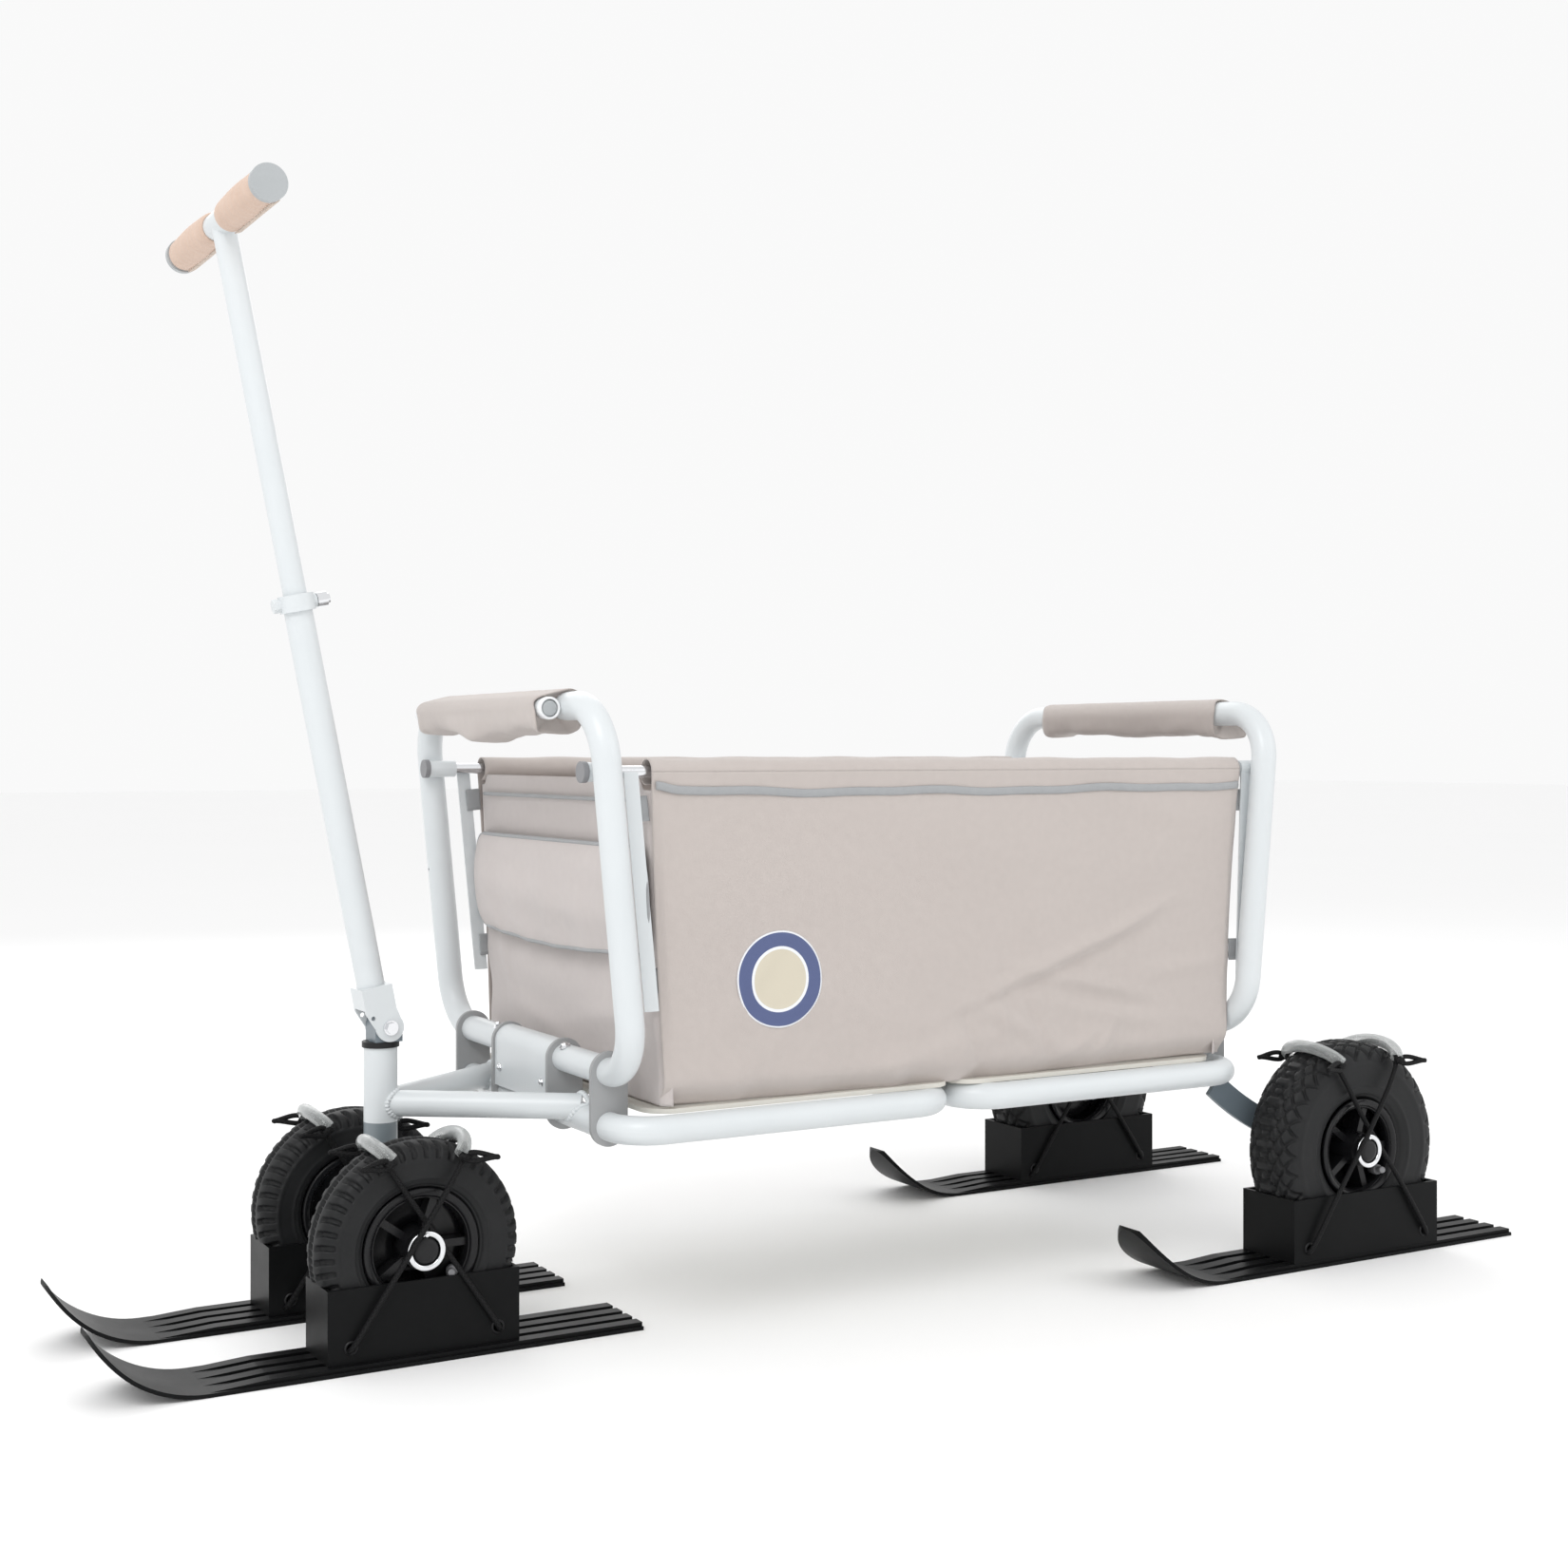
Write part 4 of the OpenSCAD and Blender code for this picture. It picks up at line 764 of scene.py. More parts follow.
# (along, down, angle, width, reach, height), lengths in metres on the cloth
SIDE_CREASES = [
    (0.53, 0.215, -19, 0.010, 0.13, 1.5), (0.51, 0.235, -17, 0.009, 0.11, -1.0),
    (0.64, 0.175, -24, 0.008, 0.05, 0.8), (0.56, 0.245, 12, 0.010, 0.09, 0.9),
    (0.62, 0.275, 14, 0.011, 0.12, -1.0), (0.66, 0.290, 9, 0.012, 0.11, 1.1),
    (0.47, 0.290, 22, 0.010, 0.08, 0.9), (0.50, 0.300, 55, 0.008, 0.035, -0.9),
    (0.44, 0.270, 68, 0.009, 0.05, 0.9), (0.40, 0.300, 62, 0.008, 0.035, -0.7),
    (0.35, 0.310, -8, 0.012, 0.10, 0.8), (0.29, 0.270, 18, 0.018, 0.10, 0.5),
    (0.55, 0.320, -24, 0.008, 0.04, 0.8), (0.60, 0.315, -60, 0.008, 0.025, 0.7),
    (0.72, 0.235, -6, 0.012, 0.07, 0.6), (0.12, 0.215, -50, 0.014, 0.07, 0.6),
    (0.16, 0.270, -38, 0.013, 0.07, 0.5), (0.09, 0.330, 88, 0.012, 0.03, 0.6),
    (0.70, 0.055, 12, 0.014, 0.07, 0.5), (0.45, 0.085, 10, 0.030, 0.20, 0.4),
    (0.22, 0.120, -8, 0.040, 0.20, 0.35), (0.62, 0.120, -20, 0.030, 0.12, 0.4),
    (0.30, 0.335, 90, 0.016, 0.03, 0.8), (0.42, 0.335, 80, 0.014, 0.03, -0.9),
]
SLEEVE_R = 0.0133
FRONT_TOP_X, FRONT_FOOT_X = SIDE_LOW[0], FRONT_HIGH[0] - 0.001
REAR_TOP_X, REAR_FOOT_X = SIDE_HIGH[0], 0.449
FOOT_Z = SIDE_LOW[2]


def side_panel_part(out):
    """The outer wall: along the cart by u, and down by v from the sleeve to the foot,
    where it turns in under the edge of the floor.  Ridges, a slow belly and the tucks
    at the foot push it off its plane."""
    u = np.linspace(0, 1, 300)[:, None]
    v = np.linspace(0, 1, 150)[None]
    drop = RAIL_Z - FOOT_Z
    front = FRONT_TOP_X + (FRONT_FOOT_X - FRONT_TOP_X) * v
    rear = REAR_TOP_X + (REAR_FOOT_X - REAR_TOP_X) * v
    x = front + (rear - front) * u
    z = RAIL_Z - drop * v
    run, down = u * 0.796, v * drop
    off = creases(run, down, SIDE_CREASES, 0.0042)
    off += 0.0035 * np.sin(math.pi * u) * np.sin(math.pi * v) ** 0.8
    off += 0.0011 * np.sin(run * 62 + 3 * v) * smoothstep(v, 0.72, 1.0)
    off += 0.0006 * np.sin(run * 140 + 9 * v) * (1 - smoothstep(v, 0.02, 0.12))
    off *= smoothstep(v, 0.03, 0.12)
    tuck = smoothstep(v, 0.90, 1.0)
    curl = 0.016 * tuck ** 2
    top_y = RAIL_Y + SLEEVE_R
    y = top_y + (PANEL_Y - 0.0005 - top_y) * smoothstep(v, 0.0, 0.12) + off - curl
    sag = 0.004 * np.sin(math.pi * np.clip(u * 1.15, 0, 1)) * smoothstep(v, 0.8, 1)
    z = z - sag + 0 * u
    edge = np.minimum(u, 1 - u) * 0.796
    y = y - 0.006 * (1 - smoothstep(edge, 0.0, 0.012)) * np.sin(math.pi * np.clip(v, 0, 1))
    points = np.stack(np.broadcast_arrays(x, out * y, z), -1)
    uv = np.stack(np.broadcast_arrays(run, down), -1)
    return points, uv


def sleeve_part(out):
    """Open sleeve wrapped round the rail: by x, and by angle from the outer wall over the
    top and back down inside; its hem is scalloped."""
    u = np.linspace(0, 1, 220)[:, None]
    a = np.radians(np.linspace(0, 262, 34))[None]
    x = FRONT_TOP_X + (REAR_TOP_X - FRONT_TOP_X) * u
    ripple = 0.0003 * np.sin(u * 61) + 0.0004 * np.sin(u * 37 + 2 * a)
    r = SLEEVE_R + ripple * np.sin(np.clip(a, 0, math.pi))
    y = RAIL_Y + r * np.cos(a)
    z = RAIL_Z + r * np.sin(a)
    points = np.stack(np.broadcast_arrays(x, out * y, z), -1)
    uv = np.stack(np.broadcast_arrays(u * 0.796, a * SLEEVE_R), -1)
    return points, uv


def binding_part(out):
    """Grey band stitched under the sleeve: a strip that waves a little up and down."""
    u = np.linspace(0, 1, 260)[:, None]
    v = np.linspace(0, 1, 7)[None]
    x = FRONT_TOP_X + 0.004 + (REAR_TOP_X - FRONT_TOP_X - 0.008) * u
    wave = 0.0012 * np.sin(u * 19) + 0.0007 * np.sin(u * 43 + 1.3)
    wave = wave + 0.005 * np.exp(-(u / 0.02) ** 2)
    z = RAIL_Z - 0.0155 + wave - 0.0085 * v - 0.003 * np.sin(math.pi * u)
    y = PANEL_Y + 0.0016 + 0.0010 * np.sin(math.pi * v) + 0.2 * wave
    points = np.stack(np.broadcast_arrays(x, out * y, z), -1)
    uv = np.stack(np.broadcast_arrays(u * 0.79, v * 0.0075), -1)
    return points, uv


for side_name, out in (("near", -1), ("far", 1)):
    made = []
    for label, part, cloth_material in (("wall", side_panel_part, FABRIC),
                                        ("sleeve", sleeve_part, FABRIC),
                                        ("binding", binding_part, BINDING)):
        points, uv = part(out)
        faces = grid_faces(*points.shape[:2])
        if out > 0:
            faces = faces[:, ::-1]
        strip = make_piece(f"side_{label}_{side_name}", points, faces, cloth_material,
                           "hoop_rear", "taupe_fabric", uv)
        solidify(strip, 0.0012)
        made.append(strip)
    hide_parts("side_panel_" + side_name)
    for strip in made:
        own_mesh(strip)

# ---------- cloth: end panels ----------

END_HALF = 0.2385


def end_panel_part(top_x, foot_x, outward):
    """End wall: across by u and down by v, wrapping back at both corners to meet the side
    walls.  Rolls and tucks push it off its slanted plane."""
    u = np.linspace(-1, 1, 150)[:, None]
    v = np.linspace(0, 1, 110)[None]
    y = END_HALF * u
    corner = smoothstep(np.abs(u), 0.88, 0.93)
    z_top = RAIL_Z - 0.007 - 0.012 * corner
    z = z_top + (FOOT_Z - z_top) * v
    x = top_x + (foot_x - top_x) * (RAIL_Z - z) / (RAIL_Z - FOOT_Z)
    off = 0.0045 * np.sin(math.pi * v) * (1 - u ** 2)
    off = off + 0.0022 * np.sin(v * 21 + 1.5 * u) * np.exp(-((v - 0.72) / 0.2) ** 2)
    off = off + creases(y, v * 0.34, [(-0.10, 0.26, 8, 0.014, 0.10, 1.0),
                                      (0.08, 0.28, -10, 0.014, 0.10, 0.9),
                                      (-0.17, 0.20, 70, 0.012, 0.06, 0.7),
                                      (0.17, 0.22, -70, 0.012, 0.06, 0.7),
                                      (0.0, 0.31, 2, 0.010, 0.16, 0.8)], 0.003)
    back = 0.010 * smoothstep(np.abs(u), 0.95, 1.0) ** 2
    x = x + outward * (off - back)
    points = np.stack(np.broadcast_arrays(x, y, z + 0 * u), -1)
    uv = np.stack(np.broadcast_arrays(y, v * 0.34), -1)
    return points, uv


for panel_name, node_name, body, base_body, top_x, foot_x, outward in (
        ("front_wall", "front_panel", "hoop_front", "base_front", FRONT_LOW[0] + 0.001,
         FRONT_FOOT_X, -1),
        ("rear_wall", "rear_panel", "hoop_rear", "base_rear", REAR_HIGH[0] - 0.001,
         REAR_LOW[0] + 0.001, 1)):
    points, uv = end_panel_part(top_x, foot_x, outward)
    faces = grid_faces(*points.shape[:2])
    if outward > 0:
        faces = faces[:, ::-1]
    wall = make_piece(panel_name, points, faces, FABRIC_PAINTED_LIGHT, None, "taupe_fabric", uv)
    solidify(wall, 0.0012)
    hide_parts(node_name)
    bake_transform(wall)


def pocket_part():
    """Pocket flap on the front wall: a soft pillow, flat at its top seam, fuller towards
    its lower edge, with rounded far corners."""
    u = np.linspace(-1, 1, 120)[:, None]
    v = np.linspace(0, 1, 50)[None]
    round_in = 0.030 * (1 - np.sqrt(np.clip(1 - np.abs(2 * v - 1) ** 3, 0, 1)))
    half = 0.236 - round_in
    y = half * u
    z = 0.520 - 0.114 * v - 0.004 * np.cos(u * 2.4) * v
    lean = (RAIL_Z - z) / (RAIL_Z - FOOT_Z)
    x_wall = FRONT_LOW[0] + 0.001 + (FRONT_FOOT_X - FRONT_LOW[0] - 0.001) * lean
    puff = 0.017 * np.sin(math.pi * np.clip(v * 0.86 + 0.05, 0, 1)) ** 0.7
    puff = puff * (1 - np.abs(u) ** 6) ** 0.5 + 0.004
    puff = puff + 0.0016 * np.sin(17 * u + 3 * v) * v * (1 - u ** 4)
    puff = puff + 0.0012 * np.sin(v * 14 + 2 * u) * (1 - u ** 4)
    points = np.stack(np.broadcast_arrays(x_wall - puff - 0.0045, y, z), -1)
    uv = np.stack(np.broadcast_arrays(y, v * 0.12), -1)
    return points, uv


points, uv = pocket_part()
pocket = make_piece("pocket_flap", points, grid_faces(*points.shape[:2]), FABRIC_PAINTED_LIGHT,
                    "hoop_front", "taupe_fabric", uv)
solidify(pocket, 0.0016)
rim_line = np.concatenate([points[:, -1], points[-1, ::-1][1:-1], points[::-1, 0],
                           points[0][1:-1]])
part = tube_part(rim_line + (-0.0004, 0, 0), 0.0024, (1, 0, 0.02), 8, closed=True)
make_piece("pocket_piping", part[0], part[1], BINDING, "hoop_front", "taupe_fabric", part[2])
top_seam = np.stack([np.full(60, 0.0), np.linspace(-0.208, 0.208, 60), np.full(60, 0.568)], -1)
top_seam[:, 0] = FRONT_LOW[0] - 0.0045 + 0.0006 * np.sin(np.linspace(0, 40, 60))
part = tube_part(top_seam, 0.0022, (1, 0, 0), 8)
make_piece("front_wall_seam", part[0], part[1], BINDING, "hoop_front", "taupe_fabric", part[2])


def floor_cloth_part():
    """Cloth over both boards: by x and y, with shallow dips and rolled tucks at the edges."""
    u = np.linspace(0, 1, 120)[:, None]
    v = np.linspace(-1, 1, 70)[None]
    x = FRONT_FOOT_X + 0.004 + (REAR_LOW[0] - FRONT_FOOT_X - 0.008) * u
    y = 0.212 * v
    z = BOARD_TOP + 0.0016 + 0.0012 * (1 + np.sin(x * 37 + 4 * v) * np.sin(y * 29 + x * 7))
    z = z + 0.004 * smoothstep(np.abs(v), 0.94, 1.0)
    points = np.stack(np.broadcast_arrays(x, y, z), -1)
    return points, np.stack(np.broadcast_arrays(x, y), -1)


points, uv = floor_cloth_part()
floor_cloth = make_piece("floor_cloth", points, grid_faces(*points.shape[:2])[:, ::-1],
                         FABRIC_PAINTED_LIGHT, None, "taupe_fabric", uv)
solidify(floor_cloth, 0.001, 1.0)
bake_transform(floor_cloth)

# ---------- handle covers ----------


def cover_part(bar, extra, bar_r, extra_r, half, outward, phase, sag):
    """Sleeve round the top bar and the extra bar: round by angle, as the farthest reach of
    the two bars in each direction, and along by y.  Below, it hangs in a shallow belly
    that is lowest near the middle by sag; at both ends it turns in round the bars."""
    v = np.linspace(-1, 1, 120)
    inward = np.concatenate([[0.05, 0.5, 0.92], np.ones(120), [0.92, 0.5, 0.05]])[:, None]
    tuck = np.concatenate([[0.010, 0.010, 0.006], np.zeros(120), [0.006, 0.010, 0.010]])[:, None]
    v = np.concatenate([[-1] * 3, v, [1] * 3])[:, None]
    a = np.linspace(0, TAU, 72, endpoint=False)[None]
    ux, uz = np.cos(a), np.sin(a)
    mid = (bar + extra) / 2
    reach = np.maximum((bar[0] - mid[0]) * ux + (bar[1] - mid[1]) * uz + bar_r,
                       (extra[0] - mid[0]) * ux + (extra[1] - mid[1]) * uz + extra_r) + 0.0022
    turn = np.gradient(reach, a[0], axis=1)
    x = mid[0] + reach * ux - turn * uz
    z = mid[1] + reach * uz + turn * ux
    below = smoothstep(-uz, 0.1, 0.9)
    belly = 0.0085 + sag * np.exp(-((v - 0.05) / 0.22) ** 2) + 0.002 * np.cos(v * 2.2 + phase)
    belly = belly - 0.004 * np.exp(-((np.abs(v) - 0.70) / 0.12) ** 2)
    belly = belly + 0.0008 * np.sin(v * 9 + phase) + 0.003 * smoothstep(np.abs(v), 0.90, 1.0)
    z = z - below * belly
    x = x + outward * below * 0.002 * np.sin(v * 6 + phase)
    wrinkle = 0.0009 * np.sin(v * 11 + 2 * a + phase) * np.cos(v * 4 - a)
    wrinkle = wrinkle + 0.0008 * np.sin(v * 17 - 3 * a + 2 * phase) * below
    wrinkle = wrinkle + 0.0009 * np.exp(-((np.abs(v) - 0.95) / 0.02) ** 2)
    top = 1 - below
    x = x + wrinkle * ux * (0.3 + 0.7 * below)
    z = z + np.abs(wrinkle) * uz * (0.3 * top + 0.7 * below)
    x, z = mid[0] + (x - mid[0]) * inward, mid[1] + (z - mid[1]) * inward
    y = half * v + 0.003 * np.sin(3 * a + phase) * np.abs(v) ** 8 - np.sign(v) * tuck
    points = np.stack(np.broadcast_arrays(x, y, z), -1)
    uv = np.stack(np.broadcast_arrays(a * 0.022, half * v), -1)
    return points, uv


for end, outward, phase, sag in (("front", -1, 0.4, 0.008), ("rear", 1, 2.1, 0.002)):
    hoop_low, hoop_high = low_high("hoop_tube_" + end)
    extra_low, extra_high = low_high("extra_bar_" + end)
    bar_x = hoop_low[0] + FRAME_TUBE_R if end == "front" else hoop_high[0] - FRAME_TUBE_R
    bar = np.array([bar_x, hoop_high[2] - FRAME_TUBE_R])
    extra = np.array([(extra_low[0] + extra_high[0]) / 2, (extra_low[2] + extra_high[2]) / 2])
    extra_r = (extra_high[0] - extra_low[0]) / 2
    half = low_high("handle_cover_" + end)[1][1]
    points, uv = cover_part(bar, extra, FRAME_TUBE_R, extra_r, half, outward, phase,
                            sag)
    cover = make_piece("handle_sleeve_" + end, points,
                       grid_faces(*points.shape[:2], close_v=True), FABRIC,
                       "hoop_" + end, "taupe_fabric", uv)
    solidify(cover, 0.0011, 1.0)
    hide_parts("handle_cover_" + end)
    # plug and white ring in the extra bar's ends
    for out in (-1, 1):
        tip = np.array([extra[0], out * extra_high[1], extra[1]])
        ring = rounded([(0.0092, -0.004), (0.0092, 0.0012), (0.0112, 0.0014), (0.0118, 0.0),
                        (0.0118, -0.006), (0.0111, -0.0062)], 0.0006)
        plug = rounded([(0.0, 0.0004), (0.0070, 0.0004), (0.0085, -0.0008), (0.0090, -0.010),
                        (0.0, -0.010)], 0.0008)
        label = "near" if out < 0 else "far"
        make_piece(f"bar_ring_{end}_{label}", *gather([lathe_part(ring, tip, (0, out, 0), 40)])[:2],
                   PLUG_WHITE, "hoop_" + end, "grey_plastic")
        make_piece(f"bar_plug_{end}_{label}", *gather([lathe_part(plug, tip, (0, out, 0), 40)])[:2],
                   CAP_GREY, "hoop_" + end, "grey_plastic")

# ---------- leather grips ----------

grip_low, grip_high = low_high("handle_grips")
grip_mid = (grip_low + grip_high) / 2
GRIP_R = (grip_high[2] - grip_low[2]) / 2
GRIP_INNER = 0.026
for side_name, out in (("near", -1), ("far", 1)):
    along_grip = np.linspace(0, 1, 60)
    start, stop = GRIP_INNER, grip_high[1]
    swell = GRIP_R - 0.0006 - 0.0007 * np.cos(along_grip * TAU)
    swell = swell - 0.0022 * np.exp(-(along_grip / 0.03) ** 2)
    swell = swell - 0.0012 * np.exp(-((1 - along_grip) / 0.02) ** 2)
    swell = swell + 0.00035 * np.sin(along_grip * 60)
    profile = np.stack([swell, start + (stop - start) * along_grip], -1)
    profile = np.vstack([[0.0141, start + 0.0004], profile, [0.0141, stop - 0.0002]])
    grip = make_piece("leather_grip_" + side_name,
                      *gather([lathe_part(profile, grip_mid, (0, out, 0), 64)])[:2], LEATHER,
                      "handle", "tan_leather")
    if side_name == "near":
        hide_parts("handle_grips")
    # laced seam along the underside: one small stitch after another
    stitches = []
    for k in range(22):
        y0 = start + 0.006 + k * (stop - start - 0.012) / 21
        t = np.linspace(-0.35, 0.35, 6)
        path = np.stack([grip_mid[0] + (GRIP_R + 0.0002) * np.sin(t + 2.6),
                         out * (y0 + 0.002 * t / 0.35),
                         grip_mid[2] + (GRIP_R + 0.0002) * np.cos(t + 2.6)], -1)
        stitches.append(tube_part(path, 0.0007, (0, 1, 0), 6))
    points, faces, uv = gather(stitches)
    make_piece("grip_stitches_" + side_name, points, faces, THREAD, "handle", "tan_leather", uv)

# ---------- badge on the near wall ----------


def badge_material():
    """Plain woven patch: a navy band between two pale lines round a plain sand middle,
    by distance from the middle on the patch's own UV."""
    finish = Finish("badge_patch", 0.75, Sheen_Weight=0.1)
    tree = finish.tree
    split = tree.nodes.new("ShaderNodeSeparateXYZ")
    tree.links.new(finish.uv, split.inputs[0])
    x, y = split.outputs[0], split.outputs[1]
    squares = [math_node(tree, "MULTIPLY", s, s) for s in (x, y)]
    radius = math_node(tree, "SQRT", math_node(tree, "ADD", *squares))
    navy, pale, sand = (0.085, 0.11, 0.235), (0.80, 0.82, 0.86), (0.62, 0.57, 0.46)
    inside = math_node(tree, "LESS_THAN", radius, 0.64)
    ring = math_node(tree, "MULTIPLY", math_node(tree, "LESS_THAN", radius, 0.68),
                     math_node(tree, "GREATER_THAN", radius, 0.62))
    rim = math_node(tree, "GREATER_THAN", radius, 0.965)
    colour = finish.blend_colours(inside, navy, sand)
    colour = finish.blend_colours(ring, colour, pale)
    finish.blend_colours(rim, colour, pale)
    weave = finish.use(WEAVE, finish.object, Threads_per_metre=1600.0)
    finish.bump(weave["Height"], 0.0002, 0.4)
    return finish.material


BADGE_AT = (-0.175, 0.378)
BADGE_R = 0.0515
turn = np.linspace(0, TAU, 96, endpoint=False)[:, None]
part_way = np.linspace(0.02, 1, 26)[None]
badge_x = BADGE_AT[0] + BADGE_R * part_way * np.cos(turn)
badge_z = BADGE_AT[1] + BADGE_R * part_way * np.sin(turn)
badge_u = (badge_x - FRONT_TOP_X) / 0.796
badge_drop = RAIL_Z - FOOT_Z
badge_v = (RAIL_Z - badge_z) / badge_drop
lift = creases(badge_u * 0.796, badge_v * badge_drop, SIDE_CREASES, 0.0042)
lift = lift + 0.0035 * np.sin(math.pi * badge_u) * np.sin(math.pi * badge_v) ** 0.8
badge_y = -(PANEL_Y - 0.0005 + lift + 0.0014 - 0.0004 * smoothstep(part_way, 0.95, 1.0))
points = np.stack(np.broadcast_arrays(badge_x, badge_y, badge_z), -1)
uv = np.stack([part_way * np.cos(turn), part_way * np.sin(turn)], -1)
faces = [list(f) for f in grid_faces(*points.shape[:2], close_u=True)]
faces.append([k * points.shape[1] for k in range(points.shape[0])][::-1])
badge = make_piece("badge", points, faces, badge_material(), "hoop_rear", "taupe_fabric", uv)
solidify(badge, 0.0008, 1.0)
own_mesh(badge)

# ---------- small hardware: bolts, weld beads, strap tabs ----------


def hex_bolt(name, at, axis, size, material, body, slot):
    """Washer and domed head on one axis."""
    washer = rounded([(0.0, 0.0), (size * 0.85, 0.0), (size * 0.85, size * 0.16),
                      (size * 0.5, size * 0.18)], size * 0.05)
    head = rounded([(size * 0.55, size * 0.16), (size * 0.55, size * 0.55),
                    (size * 0.40, size * 0.66), (0.0, size * 0.68)], size * 0.08)
    parts = [lathe_part(washer, at, axis, 28), lathe_part(head, at, axis, 6)]
    return make_piece(name, *gather(parts)[:2], material, body, slot, smooth=False)


def bead(name, centres, normals, body, radius=0.0028):
    """Weld bead: a rough tube along a closed line, rippled like laid metal."""
    ripple = radius * (1 + 0.16 * np.sin(np.linspace(0, TAU * 26, len(centres), endpoint=False)))
    part = tube_part(centres, ripple, normals, 10, closed=True)
    return make_piece(name, part[0], part[1], SILVER, body, "silver_paint", part[2])


ARM_R = 0.014
HEAD_R = 0.018
arm_low, arm_high = low_high("yoke_arms")
arm_z = (arm_low[2] + arm_high[2]) / 2
cross_x = low_high("base_loop_front")[0][0] + FRAME_TUBE_R
arm_turn = math.atan2(0.128, cross_x - HEAD_X)
around_arm = np.linspace(0, TAU, 150, endpoint=False)
for side_name, out in (("near", -1), ("far", 1)):
    ahead = np.array([math.cos(arm_turn), out * math.sin(arm_turn), 0])
    side = np.array([-out * math.sin(arm_turn), math.cos(arm_turn), 0])
    lateral = ARM_R * np.cos(around_arm)
    reach = np.sqrt(HEAD_R ** 2 - lateral ** 2)
    ring = (np.array([HEAD_X, 0, arm_z]) + reach[:, None] * ahead + lateral[:, None] * side
            + (ARM_R * np.sin(around_arm))[:, None] * np.array([0, 0, 1]))
    bead("weld_head_" + side_name, ring, tuple(ahead), "base_front")
    rise = ARM_R * np.sin(around_arm) + arm_z - middle("base_loop_front")[2]
    surface_x = low_high("base_loop_front")[0][0] + FRAME_TUBE_R - np.sqrt(
        np.clip(FRAME_TUBE_R ** 2 - rise ** 2, 1e-7, None))
    line = (surface_x - HEAD_X - lateral * side[0]) / ahead[0]
    ring = (np.array([HEAD_X, 0, arm_z]) + line[:, None] * ahead + lateral[:, None] * side
            + (ARM_R * np.sin(around_arm))[:, None] * np.array([0, 0, 1]))
    bead("weld_cross_" + side_name, ring, tuple(ahead), "base_front")

for end, outward, body in (("front", -1, "base_front"), ("rear", 1, "base_rear")):
    low, high = low_high("pivot_housing_" + end)
    hoop_bottom = low_high("hoop_tube_" + end)[0][2] + FRAME_TUBE_R
    face_x = (low[0] if outward < 0 else high[0])
    for k, y in enumerate((-0.060, 0.060)):
        hex_bolt(f"housing_rivet_{end}_{k}", (face_x, y, hoop_bottom - 0.028), (outward, 0, 0),
                 0.0055, CHROME, body, "bright_steel")
    for k, y in enumerate((-0.0945, 0.0945)):
        at = ((low[0] + high[0]) / 2 + outward * 0.006, y, hoop_bottom + 0.0138)
        hex_bolt(f"hoop_bolt_{end}_{k}", at, (outward * 0.4, 0, 0.9), 0.0075, CHROME,
                 "hoop_" + end, "bright_steel")


def tab_part(x, y, z, turn, out):
    """Short strap folded over a stay: a soft slab with a curled end."""
    u = np.linspace(-1, 1, 14)[:, None]
    v = np.linspace(0, 1, 22)[None]
    px = x + 0.0085 * u * math.cos(turn) + (v - 0.5) * 0.026 * math.sin(turn)
    pz = z + (0.5 - v) * 0.026 * math.cos(turn) + 0.0085 * u * math.sin(turn)
    py = out * (y + 0.0012 * np.sin(v * math.pi) + 0.0006 * u ** 2 + 0.002 * smoothstep(v, 0.8, 1))
    points = np.stack(np.broadcast_arrays(px, py, pz), -1)
    return points, np.stack(np.broadcast_arrays(u * 0.0085, v * 0.026), -1)


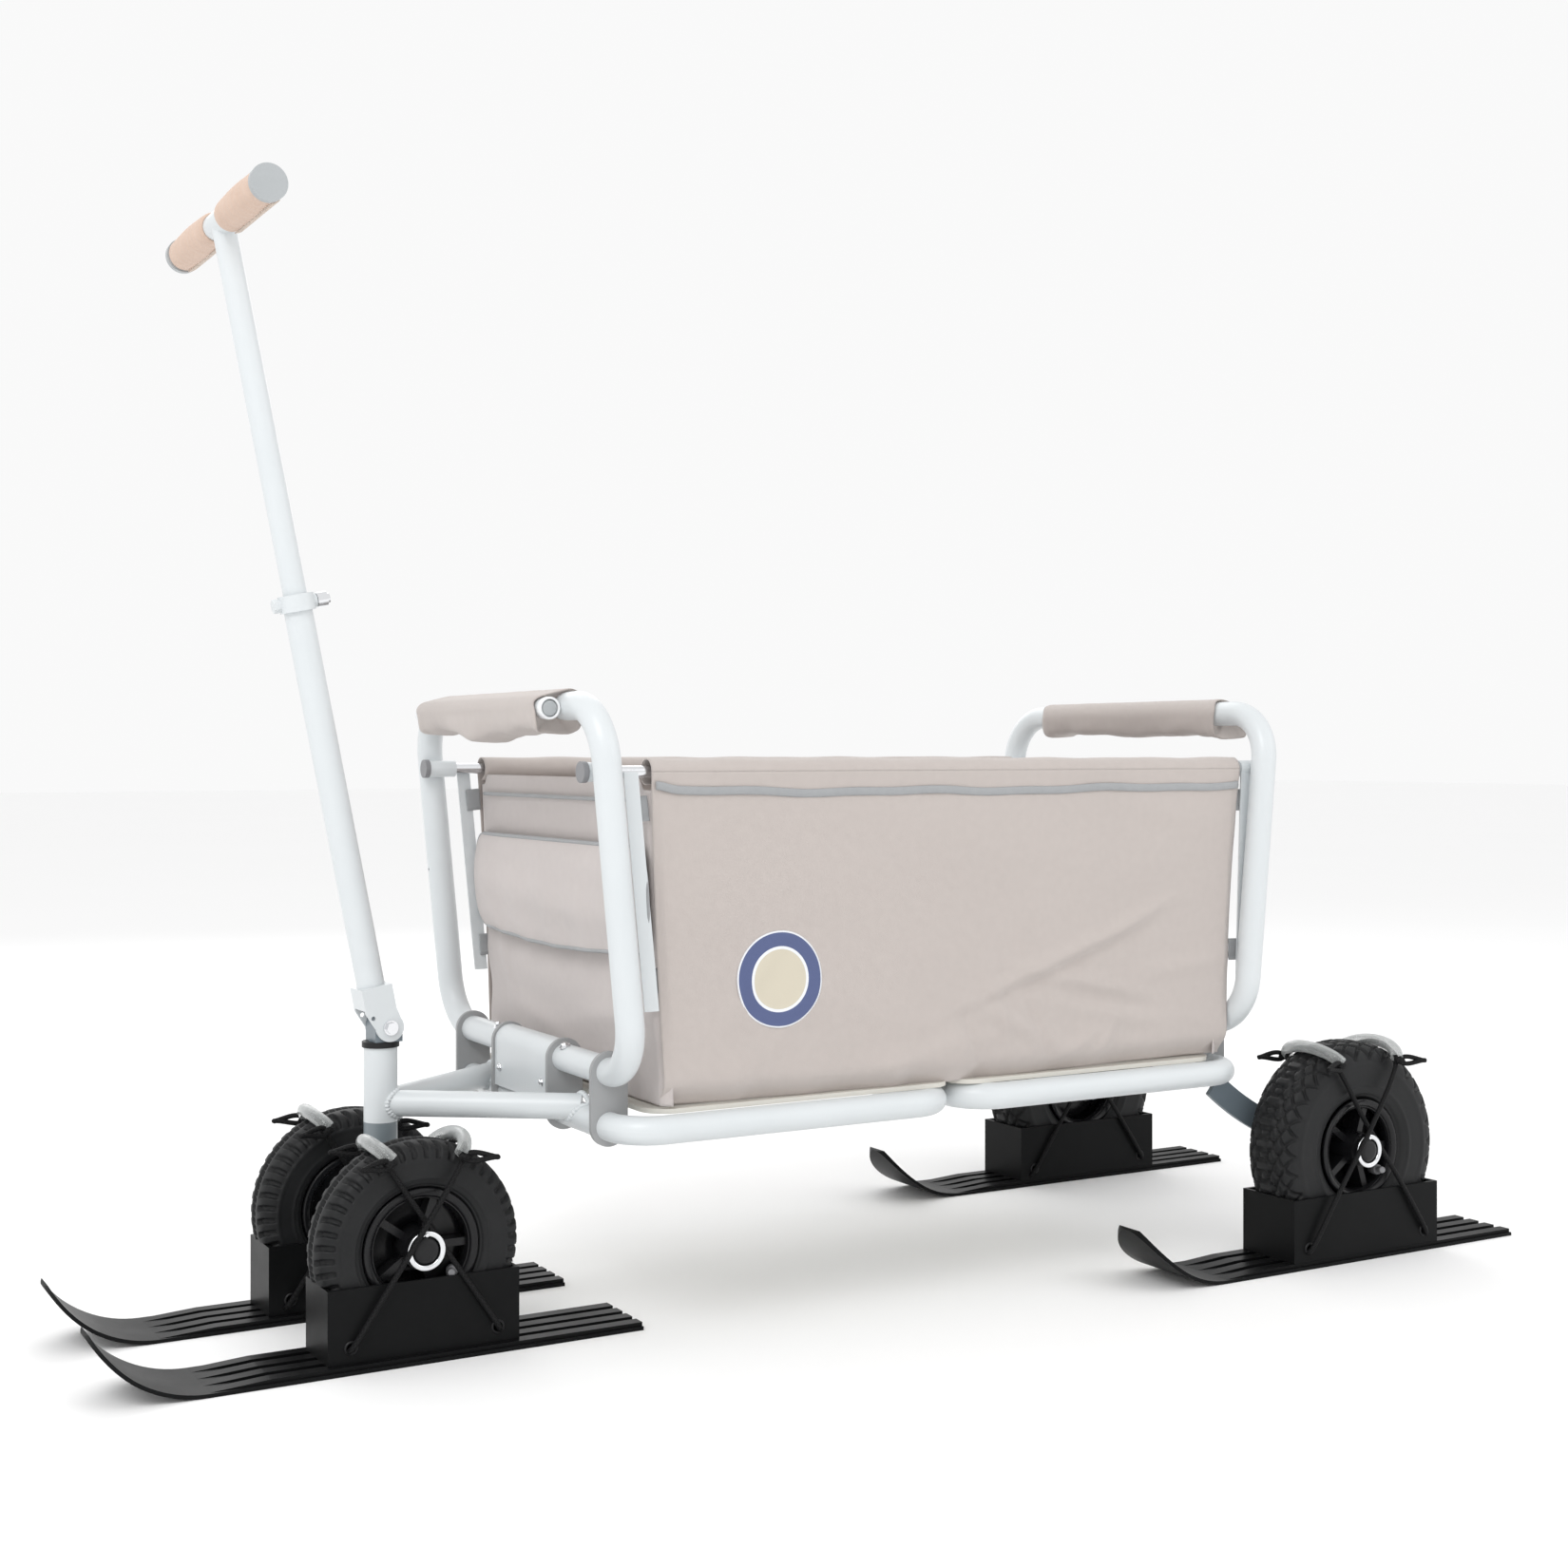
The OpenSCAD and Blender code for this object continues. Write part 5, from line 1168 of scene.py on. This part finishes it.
TABS = (("front", "hoop_front", "stays_front", (0.560, 0.383), 0.009),
        ("rear", "hoop_rear", "stays_rear", (0.560, 0.378), -0.009))
for end, body, stay_node, heights, aside in TABS:
    low, high = low_high(stay_node)
    half_stay = 0.008 if end == "front" else 0.007
    top_x, foot_x = ((low[0] + half_stay, high[0] - half_stay) if end == "front" else
                     (high[0] - half_stay, low[0] + half_stay))
    for side_name, out in (("near", -1), ("far", 1)):
        for k, z in enumerate(heights):
            x = top_x + (foot_x - top_x) * (high[2] - z) / (high[2] - low[2])
            turn_by = math.atan2(foot_x - top_x, high[2] - low[2])
            points, uv = tab_part(x + aside, high[1] - 0.0044, z, turn_by, out)
            faces = grid_faces(*points.shape[:2])
            tab = make_piece(f"strap_tab_{end}_{side_name}_{k}", points,
                             faces if out < 0 else faces[:, ::-1], BINDING, body,
                             "taupe_fabric", uv)
            solidify(tab, 0.0014, 1.0)

# ---------- floor, light ----------


def floor_finish():
    """Matt white floor with faint, wide patches of tone."""
    finish = Finish("studio_floor", 0.9)
    mottle = finish.use(MOTTLE, finish.object, Patch_scale=0.8, Grain_scale=60.0)
    finish.blend_colours(mottle["Patches"], (0.965, 0.965, 0.965), (0.98, 0.98, 0.98))
    return finish.material


FLOOR_HALF = 30.0
floor_points = FLOOR_HALF * np.array([[-1, -1, 0], [1, -1, 0], [1, 1, 0], [-1, 1, 0]])
floor = make_piece("studio_floor", floor_points, [[0, 1, 2, 3]], floor_finish(), None, None,
                   smooth=False)


def area_light(name, place, target, energy, width):
    """Square soft light at place, turned to face target."""
    data = bpy.data.lights.new(name, "AREA")
    data.energy = energy
    data.size = width
    light = bpy.data.objects.new(name, data)
    light.location = place
    direction = np.asarray(target, float) - np.asarray(place, float)
    flat = math.hypot(direction[0], direction[1])
    light.rotation_euler = (math.atan2(flat, -direction[2]), 0,
                            math.atan2(direction[1], direction[0]) - math.pi / 2)
    bpy.context.scene.collection.objects.link(light)


area_light("key", (-2.6, -2.0, 3.2), (0, 0, 0.3), 52, 1.8)
area_light("fill", (2.6, -2.6, 2.0), (0.1, 0, 0.3), 16, 2.6)
area_light("back", (0.6, 3.0, 2.6), (0, 0, 0.3), 36, 3.0)
SKY_STRENGTH = 0.95
world = bpy.data.worlds.new("studio")
world.use_nodes = True
world.node_tree.nodes["Background"].inputs[0].default_value = (1.0, 1.0, 1.0, 1)
world.node_tree.nodes["Background"].inputs[1].default_value = SKY_STRENGTH
bpy.context.scene.world = world
bpy.context.scene.view_settings.view_transform = "Standard"
